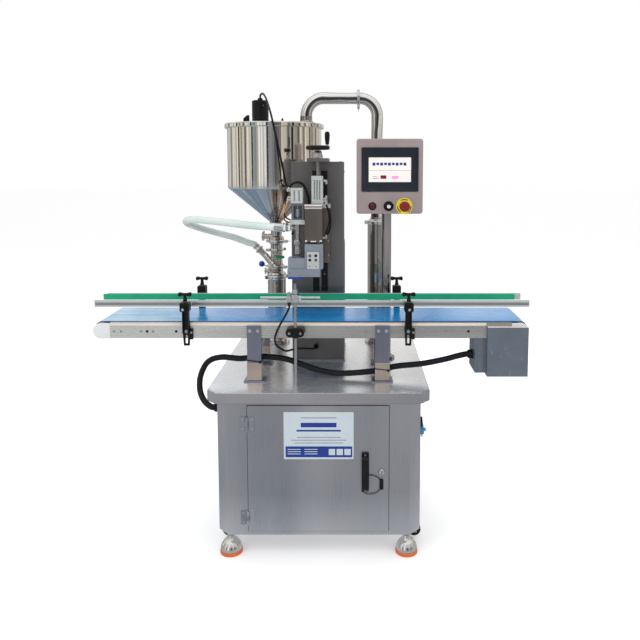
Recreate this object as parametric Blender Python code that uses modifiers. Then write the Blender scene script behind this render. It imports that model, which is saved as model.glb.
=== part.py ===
"""Piston liquid filler with a belt conveyor, on a stainless cabinet.

Frame: metres, +Z up, origin on the floor under the middle of the machine's outline.
+X runs along the belt in its travel direction, and the operator stands at -Y.
"""
import math

import bmesh
import bpy
from mathutils import Matrix, Vector

# Stand: cabinet, door and table
SHEET = 0.003                       # folded sheet thickness
GAP = 0.0003                        # between touching pieces
TABLE_X, TABLE_Y = (-0.355, 0.415), (-0.422, 0.358)
TABLE_TOP, TABLE_RIM, TABLE_CORNER = 0.603, 0.038, 0.035
CABINET_X, CABINET_Y = (-0.325, 0.386), (-0.407, 0.343)
CABINET_FLOOR, CABINET_CORNER = 0.088, 0.038
DOOR_X, DOOR_Z, DOOR_DEPTH = (-0.216, 0.275), (0.100, 0.555), 0.018
DOOR_PROUD, DOOR_CLEARANCE = 0.0015, 0.0015
HINGE_HEIGHTS, HINGE_HALF, KNUCKLE_RADIUS = (0.153, 0.490), 0.025, 0.0055
HINGE_AXIS = (DOOR_X[0] + 0.0007, CABINET_Y[0] - 0.0075)
LOCK_AT = (0.249, 0.318)
HANDLE_X, HANDLE_Z, HANDLE_WIDTH, HANDLE_REACH = 0.192, (0.251, 0.388), 0.025, 0.028
FOOT_X, FOOT_Y, FOOT_RADIUS = (-0.285, 0.340), (-0.362, 0.298), 0.040

# Belt conveyor
BELT_LINE = -0.179                  # centre of the belt across the machine
CONVEYOR_HALF = 0.775               # half the length of the side rails
RAIL_OUT, RAIL_THICK, RAIL_Z = 0.121, 0.006, (0.761, 0.815)
BELT_HALF_WIDTH, BELT_THICK, BELT_TOP = 0.1135, 0.002, 0.821
ROLLER_RADIUS, ROLLER_GAP, ROLLER_X, SHAFT_RADIUS = 0.0242, 0.0006, 0.745, 0.006
ROLLER_Z = BELT_TOP - BELT_THICK - ROLLER_GAP - ROLLER_RADIUS
STAND_X, STAND_HALF, STAND_DEPTH, STAND_TOP = (-0.203, 0.254), 0.025, 0.028, 0.808
GUIDE_HALF = 0.790
FRONT_GUIDE_OUT, REAR_GUIDE_OUT = 0.059, 0.064
GUIDE_ROD_RADIUS, GUIDE_Z = 0.005, 0.875
BRACKET_FRONT_X, BRACKET_REAR_X = (-0.442, 0.346), (-0.445, 0.320)

# Column and filling head
COLUMN_X, COLUMN_FRONT = (-0.091, 0.113), -0.050
COLUMN_BACK_HIGH, COLUMN_BACK_LOW = 0.045, 0.190
COLUMN_TOP, COLUMN_STEP = 1.389, 1.060
SCREW_AT, SCREW_RADIUS = (0.018, -0.131), 0.007
WHEEL_Z, WHEEL_RADIUS, GRIP_OFFSET = (1.432, 1.448), 0.045, 0.035
NOZZLE_X, LIFT_X = -0.055, 0.018
LIFT_Y = BELT_LINE + 0.003
BORE_LIFT = 0.008

# Product path
HOPPER_AT, HOPPER_RADIUS = (-0.187, 0.232), 0.200
HOPPER_TOP, HOPPER_SHOULDER, HOPPER_OUTLET = 1.541, 1.280, 1.122
LID_TOP, SENSOR_TOP = 1.552, 1.660
SENSOR_X = -0.247
VALVE_AT = (-0.185, 0.232)
VALVE_AXIS_Z = 0.985
METER_RADIUS, METER_BORE, METER_TOP = 0.035, 0.030, 0.883
HOSE_RADIUS = 0.014
PIPE_RADIUS, PIPE_TOP, PIPE_BEND = 0.0255, 1.659, 0.075
PIPE_X, RISER_RADIUS, RISER_TOP = (-0.052, 0.250), 0.040, 1.131

# Operator panel
PANEL_X, PANEL_Y, PANEL_Z = (0.162, 0.412), (-0.118, -0.050), (1.192, 1.474)
POST_AT, POST_RADIUS, POST_TOP = (0.280, -0.008), 0.0195, 1.400
BUTTON_Z, SELECTOR_X, STOP_X = 1.221, 0.283, 0.342

FINISHES = {                        # base colour, roughness, metallic
    "brushed_steel": ((0.62, 0.60, 0.58), 0.32, 1.0),
    "polished_steel": ((0.75, 0.73, 0.70), 0.10, 1.0),
    "aluminium": ((0.70, 0.71, 0.72), 0.40, 1.0),
    "panel_paint": ((0.38, 0.33, 0.33), 0.45, 0.0),
    "cover_paint": ((0.10, 0.13, 0.17), 0.45, 0.0),
    "black_plastic": ((0.015, 0.015, 0.016), 0.45, 0.0),
    "belt_blue": ((0.01, 0.10, 0.42), 0.40, 0.0),
    "guide_green": ((0.0, 0.28, 0.12), 0.40, 0.0),
    "foot_orange": ((0.70, 0.20, 0.05), 0.50, 0.0),
    "hose_clear": ((0.80, 0.84, 0.80), 0.15, 0.0),
    "stop_red": ((0.60, 0.01, 0.01), 0.35, 0.0),
    "lever_green": ((0.02, 0.35, 0.15), 0.40, 0.0),
}

for old in list(bpy.data.objects):
    bpy.data.objects.remove(old, do_unlink=True)
PARTS = bpy.data.collections.new("piston_liquid_filler")
TOOLS = bpy.data.collections.new("cutters")
for group in (PARTS, TOOLS):
    bpy.context.scene.collection.children.link(group)


def finish_material(finish):
    """The named finish as a Principled material."""
    found = bpy.data.materials.get(finish)
    if found:
        return found
    made = bpy.data.materials.new(finish)
    made.use_nodes = True
    shader = made.node_tree.nodes["Principled BSDF"]
    colour, roughness, metallic = FINISHES[finish]
    shader.inputs["Base Color"].default_value = (*colour, 1.0)
    shader.inputs["Roughness"].default_value = roughness
    shader.inputs["Metallic"].default_value = metallic
    return made


def place(name, data, finish, origin):
    """Link a part with its finish, or a hidden tool when it has none."""
    obj = bpy.data.objects.new(name, data)
    obj.location = origin
    if finish:
        PARTS.objects.link(obj)
        data.materials.append(finish_material(finish))
    else:
        TOOLS.objects.link(obj)
        obj.hide_render = True
        obj.display_type = "WIRE"
    return obj


def shape_mesh(name, build):
    """A mesh filled by build(bm), smooth with sharp corners."""
    mesh = bpy.data.meshes.new(name)
    bm = bmesh.new()
    build(bm)
    bm.to_mesh(mesh)
    bm.free()
    mesh.shade_smooth()
    mesh.set_sharp_from_angle(angle=math.radians(35))
    return mesh


def block(name, x, y, z, finish=None, origin=None, bevel=0.0):
    """A box between the limits x, y and z."""
    centre = Vector((sum(x) / 2, sum(y) / 2, sum(z) / 2))
    size = (x[1] - x[0], y[1] - y[0], z[1] - z[0])
    origin = Vector(origin) if origin else centre
    matrix = Matrix.Translation(centre - origin) @ Matrix.Diagonal((*size, 1.0))
    mesh = shape_mesh(name, lambda bm: bmesh.ops.create_cube(bm, size=1.0, matrix=matrix))
    obj = place(name, mesh, finish, origin)
    if bevel:
        edge = obj.modifiers.new("edge", "BEVEL")
        edge.width = bevel
        edge.segments = 2
    return obj


def rod(name, start, end, radius, finish=None, origin=None, end_radius=None, sides=20):
    """A round bar, or a cone when the end's radius differs."""
    start, end = Vector(start), Vector(end)
    origin = Vector(origin) if origin else (start + end) / 2
    run = end - start
    turn = run.to_track_quat("Z", "Y").to_matrix().to_4x4()
    matrix = Matrix.Translation((start + end) / 2 - origin) @ turn
    far = radius if end_radius is None else end_radius
    mesh = shape_mesh(name, lambda bm: bmesh.ops.create_cone(
        bm, cap_ends=True, segments=sides, radius1=radius, radius2=far,
        depth=run.length, matrix=matrix))
    return place(name, mesh, finish, origin)


def turned(name, profile, at, finish=None, sides=32, ring=False):
    """A profile of (radius, height), down its outer side, turned about the upright axis at (x, y)."""
    mesh = bpy.data.meshes.new(name)
    count = len(profile)
    edges = [(i, (i + 1) % count) for i in range(count if ring else count - 1)]
    mesh.from_pydata([(radius, 0.0, height) for radius, height in profile], edges, [])
    obj = place(name, mesh, finish, (at[0], at[1], 0.0))
    screw = obj.modifiers.new("turn", "SCREW")
    screw.steps = screw.render_steps = sides
    screw.use_merge_vertices = True
    screw.merge_threshold = 0.00001
    return obj


def meshed(curve_object, finish=None):
    """Replace a curve object by its closed mesh, so that it can be cut and joined."""
    name = curve_object.name
    bpy.context.view_layer.update()
    evaluated = curve_object.evaluated_get(bpy.context.evaluated_depsgraph_get())
    mesh = bpy.data.meshes.new_from_object(evaluated)
    bm = bmesh.new()
    bm.from_mesh(mesh)
    bmesh.ops.remove_doubles(bm, verts=bm.verts, dist=0.00001)
    bm.to_mesh(mesh)
    bm.free()
    mesh.shade_smooth()
    mesh.set_sharp_from_angle(angle=math.radians(35))
    mesh.materials.clear()
    matrix = curve_object.matrix_world.copy()
    bpy.data.objects.remove(curve_object, do_unlink=True)
    obj = place(name, mesh, finish, (0, 0, 0))
    obj.matrix_world = matrix
    return obj


PRISM_TURNS = {"Z": (0, 0, 0), "Y": (math.pi / 2, 0, 0), "X": (math.pi / 2, 0, math.pi / 2)}


def prism(name, outlines, low, high, finish=None, axis="Z"):
    """Flat outlines extruded from low to high along an axis: (x, y), (x, z) or (y, z) points."""
    curve = bpy.data.curves.new(name, "CURVE")
    curve.dimensions = "2D"
    curve.fill_mode = "BOTH"
    curve.extrude = (high - low) / 2
    for outline in outlines:
        spline = curve.splines.new("POLY")
        spline.points.add(len(outline) - 1)
        spline.use_cyclic_u = True
        for point, (u, v) in zip(spline.points, outline):
            point.co = (u, v, 0.0, 1.0)
    obj = bpy.data.objects.new(name, curve)
    TOOLS.objects.link(obj)
    obj.rotation_euler = PRISM_TURNS[axis]
    obj.location["XYZ".index(axis)] = (low + high) / 2
    return meshed(obj, finish)


def smooth_route(points, spacing):
    """Points at about the given spacing on a smooth curve, with the first and last runs straight."""
    points = [Vector(p) for p in points]
    route = [points[0]]
    for a, b, c, d in zip(points, points[1:], points[2:], points[3:]):
        steps = max(1, round((c - b).length / spacing))
        for step in range(steps):
            t = step / steps
            route.append(0.5 * (2 * b + (c - a) * t + (2 * a - 5 * b + 4 * c - d) * t ** 2
                                + (3 * b - a - 3 * c + d) * t ** 3))
    return [*route, *points[-2:]]


def tube(name, points, radius, finish, resolution=2):
    """A round tube with closed ends along the points."""
    curve = bpy.data.curves.new(name, "CURVE")
    curve.dimensions = "3D"
    curve.bevel_depth = radius
    curve.bevel_resolution = resolution
    curve.use_fill_caps = True
    spline = curve.splines.new("POLY")
    spline.points.add(len(points) - 1)
    for point, place_at in zip(spline.points, points):
        point.co = (*place_at, 1.0)
    return place(name, curve, finish, (0, 0, 0))


def combine(obj, operation, tools):
    """Join or cut a part with tools, in order."""
    for tool in tools:
        step = obj.modifiers.new(tool.name, "BOOLEAN")
        step.operation = operation
        step.object = tool
        step.solver = "EXACT"
    return obj


def join(obj, *tools):
    return combine(obj, "UNION", tools)


def cut(obj, *tools):
    return combine(obj, "DIFFERENCE", tools)


def inset(limits, amount):
    return (limits[0] + amount, limits[1] - amount)


def around(centre, half):
    return (centre - half, centre + half)


def chamfered(x, y, corner):
    """A rectangle with its corners cut at 45 degrees."""
    return [(x[0] + corner, y[0]), (x[1] - corner, y[0]), (x[1], y[0] + corner), (x[1], y[1] - corner),
            (x[1] - corner, y[1]), (x[0] + corner, y[1]), (x[0], y[1] - corner), (x[0], y[0] + corner)]


def stadium(half_length, radius, z, steps=10):
    """An outline with round ends, centred at x = 0 and height z."""
    outline = []
    for side, first in ((1, -math.pi / 2), (-1, math.pi / 2)):
        for step in range(steps + 1):
            angle = first + math.pi * step / steps
            outline.append((side * half_length + radius * math.cos(angle), z + radius * math.sin(angle)))
    return outline


def make_cabinet():
    front = CABINET_Y[0]
    shell = prism("cabinet_shell", [chamfered(CABINET_X, CABINET_Y, CABINET_CORNER)],
                  CABINET_FLOOR, TABLE_TOP - SHEET - GAP, "brushed_steel")
    inner = chamfered(inset(CABINET_X, SHEET), inset(CABINET_Y, SHEET), CABINET_CORNER - SHEET / 2)
    cut(shell,
        prism("cabinet_room", [inner], CABINET_FLOOR + SHEET, TABLE_TOP),
        block("doorway", DOOR_X, (front - 0.01, front + 0.01), DOOR_Z))

    table = prism("table_top", [chamfered(TABLE_X, TABLE_Y, TABLE_CORNER)],
                  TABLE_TOP - TABLE_RIM, TABLE_TOP, "brushed_steel")
    inner = chamfered(inset(TABLE_X, SHEET), inset(TABLE_Y, SHEET), TABLE_CORNER - SHEET / 2)
    cut(table,
        prism("table_underside", [inner], TABLE_TOP - TABLE_RIM - 0.01, TABLE_TOP - SHEET),
        rod("piston_rod_hole", (*VALVE_AT, TABLE_TOP - 0.02), (*VALVE_AT, TABLE_TOP + 0.02), 0.011))

    for depth_name, y in zip(("front", "rear"), FOOT_Y):
        for side_name, x in zip(("left", "right"), FOOT_X):
            top = CABINET_FLOOR - GAP
            turned(f"leveling_foot_{depth_name}_{side_name}",
                   [(0.0, top), (0.008, top), (0.008, 0.050), (0.014, 0.048), (0.016, 0.030),
                    (0.036, 0.018), (FOOT_RADIUS, 0.013), (FOOT_RADIUS, 0.0), (0.0, 0.0)],
                   (x, y), "foot_orange", sides=24)


def make_door():
    face = CABINET_Y[0] - DOOR_PROUD
    x, z = inset(DOOR_X, DOOR_CLEARANCE), inset(DOOR_Z, DOOR_CLEARANCE)
    back = face + DOOR_DEPTH
    axis_x, axis_y = HINGE_AXIS
    door = block("cabinet_door", x, (face, back), z, "brushed_steel", (axis_x, axis_y, sum(z) / 2))
    cut(door,
        block("door_hollow", inset(x, SHEET), (face + SHEET, back + 0.01), inset(z, SHEET)),
        rod("lock_hole", (LOCK_AT[0], face - 0.01, LOCK_AT[1]), (LOCK_AT[0], back, LOCK_AT[1]), 0.0115))

    for level, height in zip(("lower", "upper"), HINGE_HEIGHTS):
        third = HINGE_HALF / 3
        leaf_y = (CABINET_Y[0] - GAP - SHEET, CABINET_Y[0] - GAP)
        hinge = block(f"door_hinge_{level}", (axis_x - 0.026, axis_x - 0.007), leaf_y,
                      around(height, HINGE_HALF), "brushed_steel")
        join(hinge,
             block(f"hinge_tab_{level}", (axis_x - 0.008, axis_x), leaf_y, around(height, third - GAP)),
             rod(f"hinge_pin_{level}", (axis_x, axis_y, height - third + GAP),
                 (axis_x, axis_y, height + third - GAP), KNUCKLE_RADIUS, sides=16))
        join(door, block(f"door_leaf_{level}", (axis_x + 0.007, axis_x + 0.026),
                         (face - SHEET, face + 0.001), around(height, HINGE_HALF)))
        for side in (-1, 1):
            ends = sorted((height + side * third, height + side * HINGE_HALF))
            join(door,
                 block(f"door_tab_{level}_{side}", (axis_x, axis_x + 0.008),
                       (face - SHEET, face - 0.0005), ends),
                 rod(f"door_knuckle_{level}_{side}", (axis_x, axis_y, ends[0]),
                     (axis_x, axis_y, ends[1]), KNUCKLE_RADIUS, sides=16))

    z0, z1 = HANDLE_Z
    near, far, bar = face - GAP, face - GAP - HANDLE_REACH, 0.009
    bow = [(near, z0), (near, z0 + 0.020), (far + bar, z0 + 0.034), (far + bar, z1 - 0.034),
           (near, z1 - 0.020), (near, z1), (far + 0.004, z1 - 0.020), (far, z1 - 0.034),
           (far, z0 + 0.034), (far + 0.004, z0 + 0.020)]
    prism("door_handle", [bow], HANDLE_X - HANDLE_WIDTH / 2, HANDLE_X + HANDLE_WIDTH / 2,
          "black_plastic", axis="X")

    lock_x, lock_z = LOCK_AT
    cam = (back + 0.001, back + 0.004)
    lock = rod("door_lock", (lock_x, face - 0.007, lock_z), (lock_x, cam[1], lock_z), 0.011,
               "polished_steel", (lock_x, face, lock_z))
    join(lock, block("lock_cam", around(lock_x, 0.007), cam, (lock_z - 0.045, lock_z)))


def make_conveyor():
    for side, name in ((-1, "front"), (1, "rear")):
        outer = BELT_LINE + side * RAIL_OUT
        inner = outer - side * RAIL_THICK
        middle = sum(RAIL_Z) / 2
        radius = (RAIL_Z[1] - RAIL_Z[0]) / 2
        rail = prism(f"side_rail_{name}", [stadium(CONVEYOR_HALF - radius, radius, middle)],
                     min(outer, inner), max(outer, inner), "brushed_steel", axis="Y")
        for end in (-1, 1):
            at = end * ROLLER_X
            cut(rail, rod(f"shaft_hole_{name}_{end}", (at, outer - 0.02, ROLLER_Z),
                          (at, outer + 0.02, ROLLER_Z), SHAFT_RADIUS + GAP, sides=16))

    width = around(BELT_LINE, BELT_HALF_WIDTH)
    outer_radius = ROLLER_RADIUS + ROLLER_GAP + BELT_THICK
    prism("conveyor_belt", [stadium(ROLLER_X, outer_radius, ROLLER_Z),
                            stadium(ROLLER_X, outer_radius - BELT_THICK, ROLLER_Z)],
          *width, "belt_blue", axis="Y")
    bed_top = BELT_TOP - BELT_THICK - GAP
    bed_y = around(BELT_LINE, RAIL_OUT - RAIL_THICK - GAP)
    bed_end = ROLLER_X - ROLLER_RADIUS - 0.004
    block("slider_bed", (-bed_end, bed_end), bed_y, (bed_top - 0.012, bed_top), "brushed_steel")

    shaft_y = around(BELT_LINE, RAIL_OUT - 0.001)
    for name, x in (("idle_roller", -ROLLER_X), ("drive_roller", ROLLER_X)):
        axle = (x, BELT_LINE, ROLLER_Z)
        roller = rod(name, (x, width[0], ROLLER_Z), (x, width[1], ROLLER_Z), ROLLER_RADIUS,
                     "brushed_steel", axle, sides=20)
        join(roller, rod(f"{name}_shaft", (x, shaft_y[0], ROLLER_Z), (x, shaft_y[1], ROLLER_Z),
                         SHAFT_RADIUS, sides=16))


def make_stands():
    """Two welded frames that carry the conveyor over the table."""
    floor = TABLE_TOP + GAP
    under = RAIL_Z[0] - GAP
    for name, x in zip(("left", "right"), STAND_X):
        across = around(x, STAND_HALF)
        beam_y = around(BELT_LINE, RAIL_OUT - STAND_DEPTH + 0.008)
        stand = block(f"conveyor_stand_{name}", around(x, 0.015), beam_y, (0.700, 0.728),
                      "brushed_steel")
        for side in (-1, 1):
            face = BELT_LINE + side * (RAIL_OUT + 0.006)
            inner = face - side * STAND_DEPTH
            plate_back = face - side * (0.006 - GAP)
            foot_edge = face - side * 0.050
            join(stand,
                 block(f"upright_{name}_{side}", across, sorted((face, inner)), (floor, under)),
                 block(f"plate_{name}_{side}", across, sorted((face, plate_back)),
                       (under - 0.01, STAND_TOP)),
                 block(f"base_{name}_{side}", around(x, 0.038), sorted((face + side * 0.004, foot_edge)),
                       (floor, floor + 0.005)))


def make_guides():
    """Bottle guides on rods, held in brackets by clamp knobs."""
    sides = (
        ("front", -1, FRONT_GUIDE_OUT, BRACKET_FRONT_X, 0.0),
        ("rear", 1, REAR_GUIDE_OUT, BRACKET_REAR_X, 0.010),
    )
    for name, side, offset, places, raised in sides:
        rail_y = sorted((BELT_LINE + side * offset, BELT_LINE + side * (offset + 0.008)))
        rail = block(f"guide_rail_{name}", (-GUIDE_HALF, GUIDE_HALF), rail_y,
                     around(GUIDE_Z, 0.012), "brushed_steel")
        rod_start = BELT_LINE + side * (offset + 0.004)
        rod_end = BELT_LINE + side * (RAIL_OUT + 0.052)
        face = BELT_LINE + side * (RAIL_OUT + GAP)
        for end, x in zip(("left", "right"), places):
            join(rail, rod(f"guide_rod_{name}_{end}", (x, rod_start, GUIDE_Z), (x, rod_end, GUIDE_Z),
                           GUIDE_ROD_RADIUS, sides=16))
            head_top = 0.895 + raised
            head_y = sorted((BELT_LINE + side * (RAIL_OUT - 0.002), BELT_LINE + side * (RAIL_OUT + 0.030)))
            bracket = block(f"guide_bracket_{name}_{end}", around(x, 0.023),
                            sorted((face, face + side * 0.007)), (0.736, 0.800), "black_plastic")
            join(bracket,
                 block(f"bracket_arm_{name}_{end}", around(x, 0.011),
                       sorted((face, face + side * 0.020)), (0.738, 0.870)),
                 block(f"bracket_head_{name}_{end}", around(x, 0.017), head_y, (0.860, head_top)))
            cut(bracket,
                rod(f"rod_hole_{name}_{end}", (x, rod_start, GUIDE_Z), (x, rod_end + side * 0.01, GUIDE_Z),
                    GUIDE_ROD_RADIUS + GAP, sides=16))
            knob_y = sum(head_y) / 2
            base = head_top + GAP
            knob = rod(f"guide_knob_{name}_{end}", (x, knob_y, base), (x, knob_y, base + 0.022), 0.008,
                       "black_plastic", (x, knob_y, base), sides=16)
            join(knob, block(f"knob_tee_{name}_{end}", around(x, 0.024), around(knob_y, 0.007),
                             (base + 0.016, base + 0.037)))
    strip_y = (BELT_LINE + REAR_GUIDE_OUT - GAP - 0.008, BELT_LINE + REAR_GUIDE_OUT - GAP)
    block("guide_strip", (-0.804, 0.765), strip_y, (0.864, 0.886), "guide_green")


def make_drive():
    """Gearmotor under the outfeed end, its cover and the conduit that feeds it."""
    front, back = BELT_LINE - 0.134, BELT_LINE + 0.110
    under = RAIL_Z[0] - GAP
    cover = block("gearmotor_cover", (0.626, 0.772), (front, back), (0.624, under), "cover_paint")
    join(cover,
         block("cover_apron", (0.626, 0.772), (front, front + 0.0125), (0.624, 0.803)),
         block("terminal_box", (0.585, 0.640), (front + 0.015, front + 0.130), (0.634, under)))
    cut(cover,
        block("cover_room", inset((0.626, 0.772), SHEET), (front + SHEET, back - SHEET),
              (0.624 + SHEET, under + 0.01)),
        block("terminal_room", (0.585 + SHEET, 0.650), (front + 0.018, front + 0.127),
              (0.634 + SHEET, under - SHEET)))
    gearbox = block("gearmotor", (0.655, 0.745), around(BELT_LINE - 0.055, 0.045), (0.640, 0.750),
                    "aluminium")
    join(gearbox,
         rod("motor_body", (0.700, BELT_LINE - 0.02, 0.690), (0.700, BELT_LINE + 0.095, 0.690), 0.040))

    box_side, wall_side = 0.585 - GAP, CABINET_X[0] - GAP
    route = [
        (box_side, -0.248, 0.689), (0.565, -0.248, 0.689), (0.530, -0.250, 0.682), (0.480, -0.254, 0.670),
        (0.400, -0.256, 0.655), (0.305, -0.256, 0.645), (0.230, -0.262, 0.630), (0.110, -0.266, 0.622),
        (0.030, -0.264, 0.632),
        (-0.045, -0.256, 0.655), (-0.105, -0.251, 0.673), (-0.190, -0.252, 0.680), (-0.260, -0.256, 0.674),
        (-0.330, -0.262, 0.681), (-0.378, -0.266, 0.664), (-0.403, -0.274, 0.615), (-0.402, -0.292, 0.568),
        (-0.382, -0.315, 0.537), (-0.355, -0.330, 0.521), (-0.340, -0.332, 0.520), (wall_side, -0.332, 0.520),
    ]
    tube("motor_conduit", smooth_route(route, 0.055), 0.011, "black_plastic")


def make_column():
    x, front = COLUMN_X, COLUMN_FRONT
    column = block("column_case", x, (front, COLUMN_BACK_HIGH), (TABLE_TOP + GAP, COLUMN_TOP),
                   "brushed_steel")
    join(column,
         block("column_rear", x, (front + 0.02, COLUMN_BACK_LOW), (TABLE_TOP + GAP, COLUMN_STEP)),
         block("column_guides", (-0.010, 0.052), (front - 0.007, front + 0.001), (0.880, 1.360)),
         block("screw_bracket", (-0.022, 0.058), (SCREW_AT[1] - 0.024, front + 0.030),
               (COLUMN_TOP - 0.001, COLUMN_TOP + 0.012)))
    cut(column,
        rod("screw_seat", (*SCREW_AT, COLUMN_TOP - 0.02), (*SCREW_AT, COLUMN_TOP + 0.03),
            SCREW_RADIUS + GAP, sides=16))

    collar = COLUMN_TOP + 0.012 + GAP
    screw_x, screw_y = SCREW_AT
    turned("lift_screw",
           [(0.0, 1.4315), (SCREW_RADIUS, 1.4315), (0.014, 1.4315 - 0.004), (0.020, collar),
            (SCREW_RADIUS, collar), (SCREW_RADIUS, 1.060), (0.0, 1.060)],
           SCREW_AT, "brushed_steel", sides=20)
    low, high = WHEEL_Z
    turned("handwheel",
           [(0.0, high), (0.016, high), (0.022, high - 0.005), (WHEEL_RADIUS - 0.006, high - 0.005),
            (WHEEL_RADIUS - 0.003, high), (WHEEL_RADIUS, high - 0.004), (WHEEL_RADIUS, low + 0.004),
            (WHEEL_RADIUS - 0.003, low), (0.0, low)],
           SCREW_AT, "black_plastic", sides=32)
    turned("handwheel_grip",
           [(0.0, 1.500), (0.007, 1.498), (0.010, 1.485), (0.009, 1.465), (0.006, 1.452),
            (0.006, high + GAP), (0.0, high + GAP)],
           (screw_x + GRIP_OFFSET, screw_y), "black_plastic", sides=20)


def make_head():
    """Carriage on the column, with the nozzle and the bottle-neck locator."""
    front = COLUMN_FRONT - 0.007 - GAP
    arm_x = (-0.027, 0.036)
    carriage = block("lift_carriage", (-0.034, 0.060), (front - 0.020, front), (1.000, 1.236),
                     "aluminium")
    head_front = BELT_LINE - 0.031
    join(carriage,
         block("carriage_arm", arm_x, (-0.149, front - 0.010), (1.096, 1.200)),
         block("carriage_top", arm_x, (head_front, front - 0.010), (1.2165, 1.2335)),
         block("carriage_rib", arm_x, (-0.149, front - 0.010), (1.190, 1.225)))
    cut(carriage,
        rod("screw_nut", (*SCREW_AT, 1.05), (*SCREW_AT, 1.26), SCREW_RADIUS + GAP, sides=16),
        rod("ram_hole", (LIFT_X, LIFT_Y, 1.20), (LIFT_X, LIFT_Y, 1.25), BORE_LIFT, sides=16))

    cover = block("head_cover", arm_x, (head_front, -0.149 - GAP), (1.0955, 1.2162), "brushed_steel")
    cut(cover, block("cover_hollow", inset(arm_x, 0.002), (head_front + 0.002, -0.140), (1.09, 1.2142)),
        rod("cover_ram_hole", (LIFT_X, LIFT_Y, 1.20), (LIFT_X, LIFT_Y, 1.25), BORE_LIFT, sides=16))

    ram = block("lift_cylinder", around(LIFT_X, 0.021), around(LIFT_Y, 0.0195), (1.2338, 1.336),
                "aluminium", bevel=0.002)
    cut(ram, rod("ram_bore", (LIFT_X, LIFT_Y, 1.22), (LIFT_X, LIFT_Y, 1.322), BORE_LIFT, sides=16))

    slide_x = (-0.028, 0.038)
    locator = block("neck_locator", slide_x, (BELT_LINE - 0.026, BELT_LINE + 0.026), (0.9945, 1.087),
                    "aluminium")
    join(locator,
         block("locator_face", (-0.020, 0.026), (BELT_LINE - 0.031, BELT_LINE - 0.02), (0.995, 1.060)),
         block("locator_plate", (-0.092, 0.028), (BELT_LINE - 0.029, BELT_LINE + 0.029), (0.966, 0.9955)),
         block("locator_cup", (-0.090, -0.027), (BELT_LINE - 0.025, BELT_LINE + 0.025), (0.995, 1.035)),
         rod("locator_ram", (LIFT_X, LIFT_Y, 1.08), (LIFT_X, LIFT_Y, 1.285), 0.005, sides=12),
         rod("ram_piston", (LIFT_X, LIFT_Y, 1.275), (LIFT_X, LIFT_Y, 1.287), BORE_LIFT - GAP, sides=16))
    cut(locator,
        rod("neck_hole", (NOZZLE_X, BELT_LINE, 0.95), (NOZZLE_X, BELT_LINE, 1.05), 0.017, sides=24))


def make_nozzle():
    x, y = NOZZLE_X, BELT_LINE
    yoke_x = (x - 0.019, x + 0.024)
    nozzle = block("nozzle_body", yoke_x, around(y, 0.018), (1.169, 1.236), "polished_steel")
    cut(nozzle, block("yoke_window", inset(yoke_x, 0.006), around(y, 0.03), (1.181, 1.228)))
    join(nozzle,
         block("nozzle_clamp", (x - 0.026, -0.0273), around(y, 0.022), (1.158, 1.176)),
         rod("nozzle_tee", (x, y, 1.165), (x, y, 1.125), 0.011),
         rod("nozzle_tube", (x, y, 1.130), (x, y, 1.100), 0.0075, sides=16),
         rod("nozzle_nut", (x, y, 1.103), (x, y, 1.081), 0.0145, sides=6),
         rod("nozzle_spout", (x, y, 1.083), (x, y, 1.038), 0.0115, sides=20),
         rod("nozzle_barb", (x, y, 1.146), (x - 0.026, y, 1.146), 0.008, sides=16))
    cut(nozzle, rod("nozzle_bore", (x, y, 1.25), (x, y, 1.02), 0.0045, sides=16))
    turned("nozzle_needle",
           [(0.0, 1.239), (0.0035, 1.239), (0.0035, 1.212), (0.009, 1.210), (0.009, 1.198),
            (0.0035, 1.196), (0.0035, 1.044), (0.001, 1.040), (0.0, 1.040)],
           (x, y), "polished_steel", sides=16)
    shutoff = block("shutoff_cylinder", around(x - 0.001, 0.022), around(y, 0.022),
                    (1.2363, 1.292), "aluminium", bevel=0.002)
    cut(shutoff, rod("shutoff_bore", (x, y, 1.22), (x, y, 1.262), 0.0045, sides=16))

    branch_end = Vector((VALVE_AT[0] - 0.077, VALVE_AT[1], 1.015))
    route = [
        (x - 0.0263, y, 1.146), (-0.105, y, 1.146), (-0.164, -0.160, 1.147), (-0.225, -0.147, 1.150),
        (-0.283, -0.135, 1.155), (-0.372, -0.100, 1.162), (-0.472, -0.048, 1.165), (-0.520, 0.030, 1.152),
        (-0.530, 0.110, 1.133), (-0.491, 0.172, 1.108), (-0.437, 0.212, 1.086), (-0.367, 0.230, 1.064),
        (-0.315, 0.232, 1.044), tuple(branch_end + Vector((-0.018, 0.0, 0.018))),
        tuple(branch_end + Vector((-0.0003, 0.0, 0.0003))),
    ]
    tube("product_hose", smooth_route(route, 0.045), HOSE_RADIUS, "hose_clear", resolution=3)


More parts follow.
